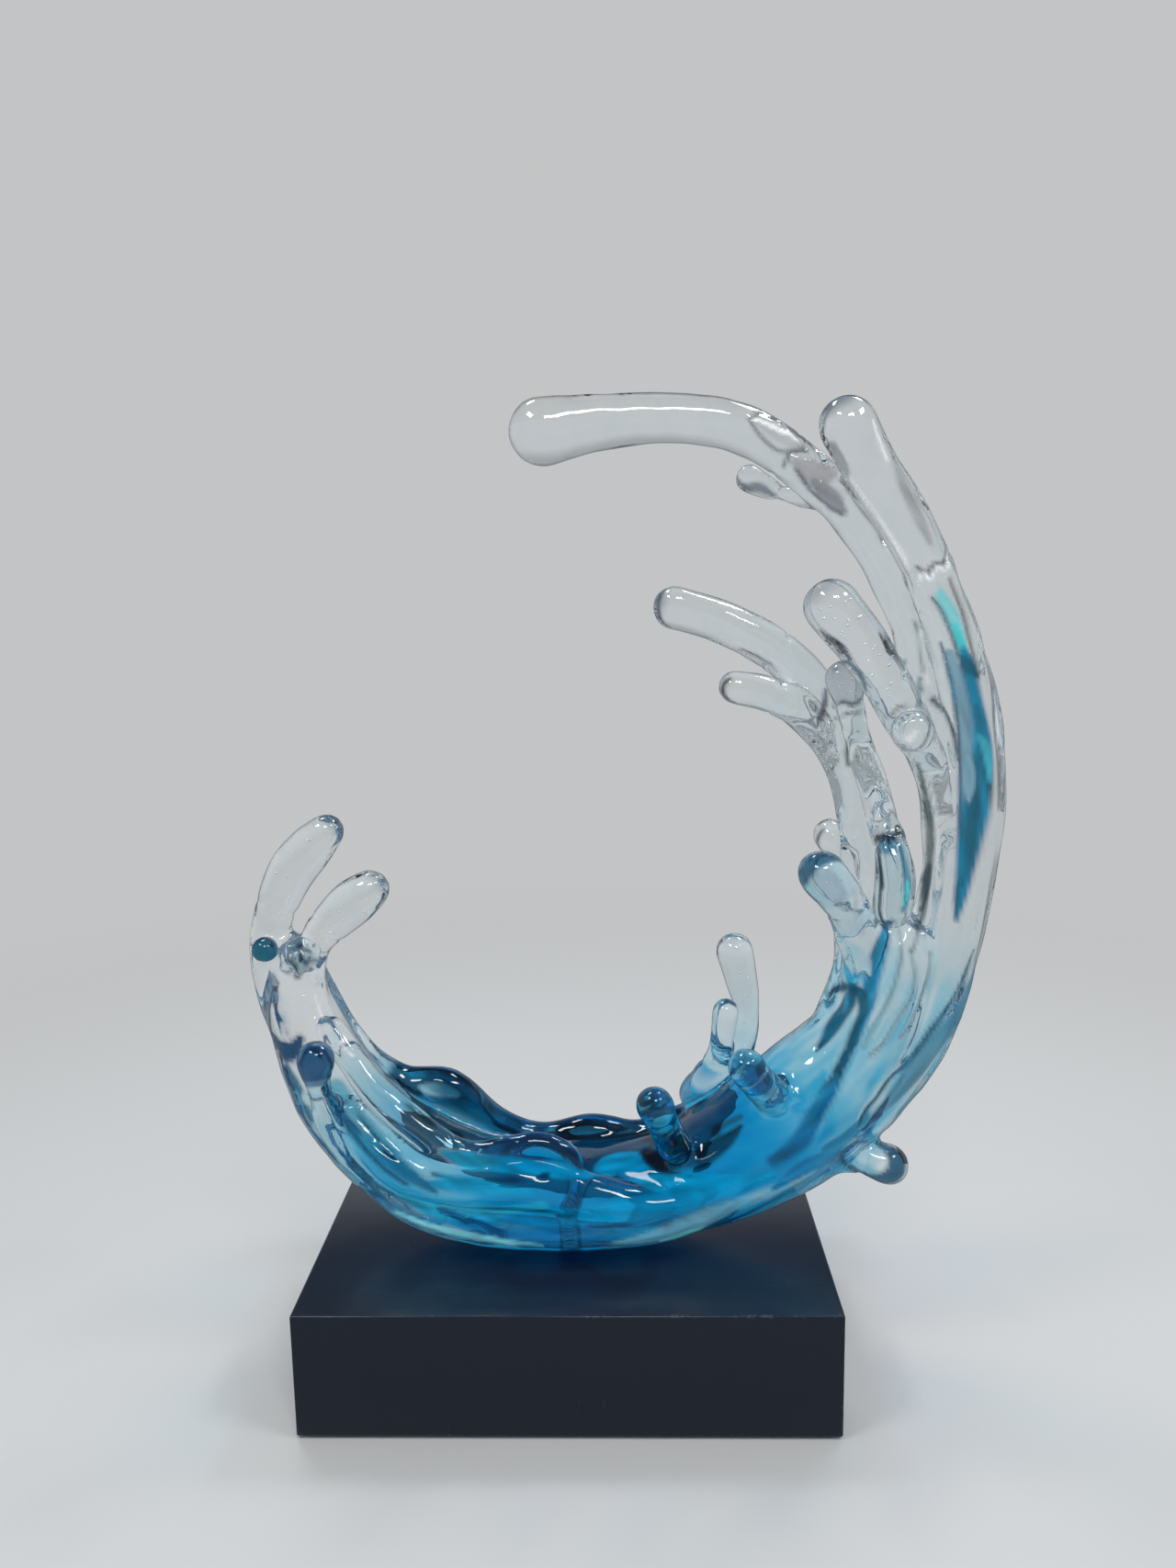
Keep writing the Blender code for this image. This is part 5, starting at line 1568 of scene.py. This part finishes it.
def makeFelt(setting):
    made, start = newFinish("felt")
    place = objectPlace(start)
    fibres, mats = place.noise(setting["fibres"]), place.noise(setting["mats"])
    endPrincipled(start, {
        "Base Color": fibrous(fibres, mats, setting),
        "Roughness": setting["roughness"],
        "Sheen Weight": setting["sheen"],
        "Normal": (fibres + mats * setting["matHeight"]).bump(*setting["bump"])})
    return made


def dress(material, *names):
    for name in names:
        nodes[name].data.materials.clear()
        nodes[name].data.materials.append(material)


corners = [f"{depth}_{side}" for depth in ("front", "back") for side in ("left", "right")]
dress(makeFibreboard(fibreboardSetting), "bottom_plate", *[f"corner_block_{corner}" for corner in corners])
dress(makeFelt(feltSetting), "felt_sheet")
dress(zinc, "washer", "hex_nut", *[f"bottom_screw_{corner}" for corner in corners])
report("finishes")

# The studio: a pale floor that runs out into the pale backdrop, a darker room round it and soft lamps.
# Sizes are in metres.
studio = {
    "pale": (0.545, 0.555, 0.56),
    # how the wall, the side behind the camera and the ceiling look through the resin and in its gloss
    "through": {"wall": 0.58, "behind": 0.33, "ceiling": 0.40, "ceilingRises": (0.45, 0.80)},
    "mirrored": {"wall": 0.48, "behind": 0.10, "ceiling": 0.08, "ceilingRises": (0.25, 0.60)},
    "roomTint": (0.97, 1.0, 1.03),
    "roomSide": (0.25, -0.55),     # how far round the wall turns into the side behind the camera
    "floor": (0.57, 0.58, 0.585),
    "mirroredFloor": 0.24,
    "floorSize": 12.0,
    "floorThickness": 0.01,
    "fade": (0.45, 1.3),           # how far out the floor turns into the backdrop
    # place, width, height and power of each lamp, and what they all look at
    "lamps": [((-0.80, -0.60, 1.55), 0.42, 0.21, 5.8),
              ((0.20, -1.05, 1.45), 0.50, 0.24, 7.6),
              ((1.00, -0.50, 1.50), 0.42, 0.21, 5.8),
              ((-0.50, 0.60, 1.70), 0.42, 0.21, 5.8),
              ((0.70, 0.65, 1.65), 0.42, 0.21, 5.8)],
    "litPlace": (0.05, 0.0, 0.2),
}


def mirrorRays(path):
    # 1 for a ray that comes off a mirror: a refracted ray counts as glossy too
    return path * (1 - path.other("Is Transmission Ray"))


def makeRoom(setting):
    world = bpy.data.worlds.new("studio")
    world.use_nodes = True
    world.node_tree.nodes.clear()
    bpy.context.scene.world = world
    start = Wire(world.node_tree)
    toward = start.node("ShaderNodeTexCoord", {}, {}, "Generated")
    up = start.node("ShaderNodeSeparateXYZ", {}, {0: toward}, "Z")
    behind = up.other("Y").rise(*setting["roomSide"])
    tint = setting["roomTint"]

    def room(seen):
        around = behind.blend(shade(tint, seen["wall"]), shade(tint, seen["behind"]))
        return up.rise(*seen["ceilingRises"]).blend(around, shade(tint, seen["ceiling"]))

    path = start.node("ShaderNodeLightPath", {}, {}, "Is Glossy Ray")
    colour = mirrorRays(path).blend(room(setting["through"]), room(setting["mirrored"]))
    colour = path.other("Is Camera Ray").blend(colour, shade(setting["pale"]))
    light = start.node("ShaderNodeBackground", {}, {"Color": colour})
    start.node("ShaderNodeOutputWorld", {}, {"Surface": light})


def makeFloor(setting):
    paint, start = newFinish("floor")
    away = start.node("ShaderNodeVectorMath", {"operation": "LENGTH"}, {0: objectPlace(start)}, "Value")
    lit = start.node("ShaderNodeBsdfDiffuse", {}, {"Color": shade(setting["floor"])})
    even = start.node("ShaderNodeEmission", {}, {"Color": shade(setting["pale"])})
    dimmed = shade(setting["roomTint"], setting["mirroredFloor"])
    dim = start.node("ShaderNodeEmission", {}, {"Color": dimmed})
    path = start.node("ShaderNodeLightPath", {}, {}, "Is Glossy Ray")
    endFinish(start, mirrorRays(path).mixed(away.rise(*setting["fade"]).mixed(lit, even), dim))
    half = setting["floorSize"] / 2
    floor = loose("floor", boxMesh((-half, -half, -setting["floorThickness"]), (half, half, 0)))
    floor.data.materials.append(paint)


def makeLamps(setting):
    for number, (place, width, height, power) in enumerate(setting["lamps"]):
        lamp = bpy.data.lights.new(f"softbox_{number}", "AREA")
        lamp.shape = "RECTANGLE"
        lamp.size = width
        lamp.size_y = height
        lamp.energy = power
        stand = loose(lamp.name, lamp)
        stand.location = place
        aim = Vector(setting["litPlace"]) - Vector(place)
        stand.rotation_euler = aim.to_track_quat("-Z", "Y").to_euler()
        # the resin mirrors the lamps, but doesn't act as a lens to them
        stand.visible_transmission = False


makeRoom(studio)
makeFloor(studio)
makeLamps(studio)
report("studio")
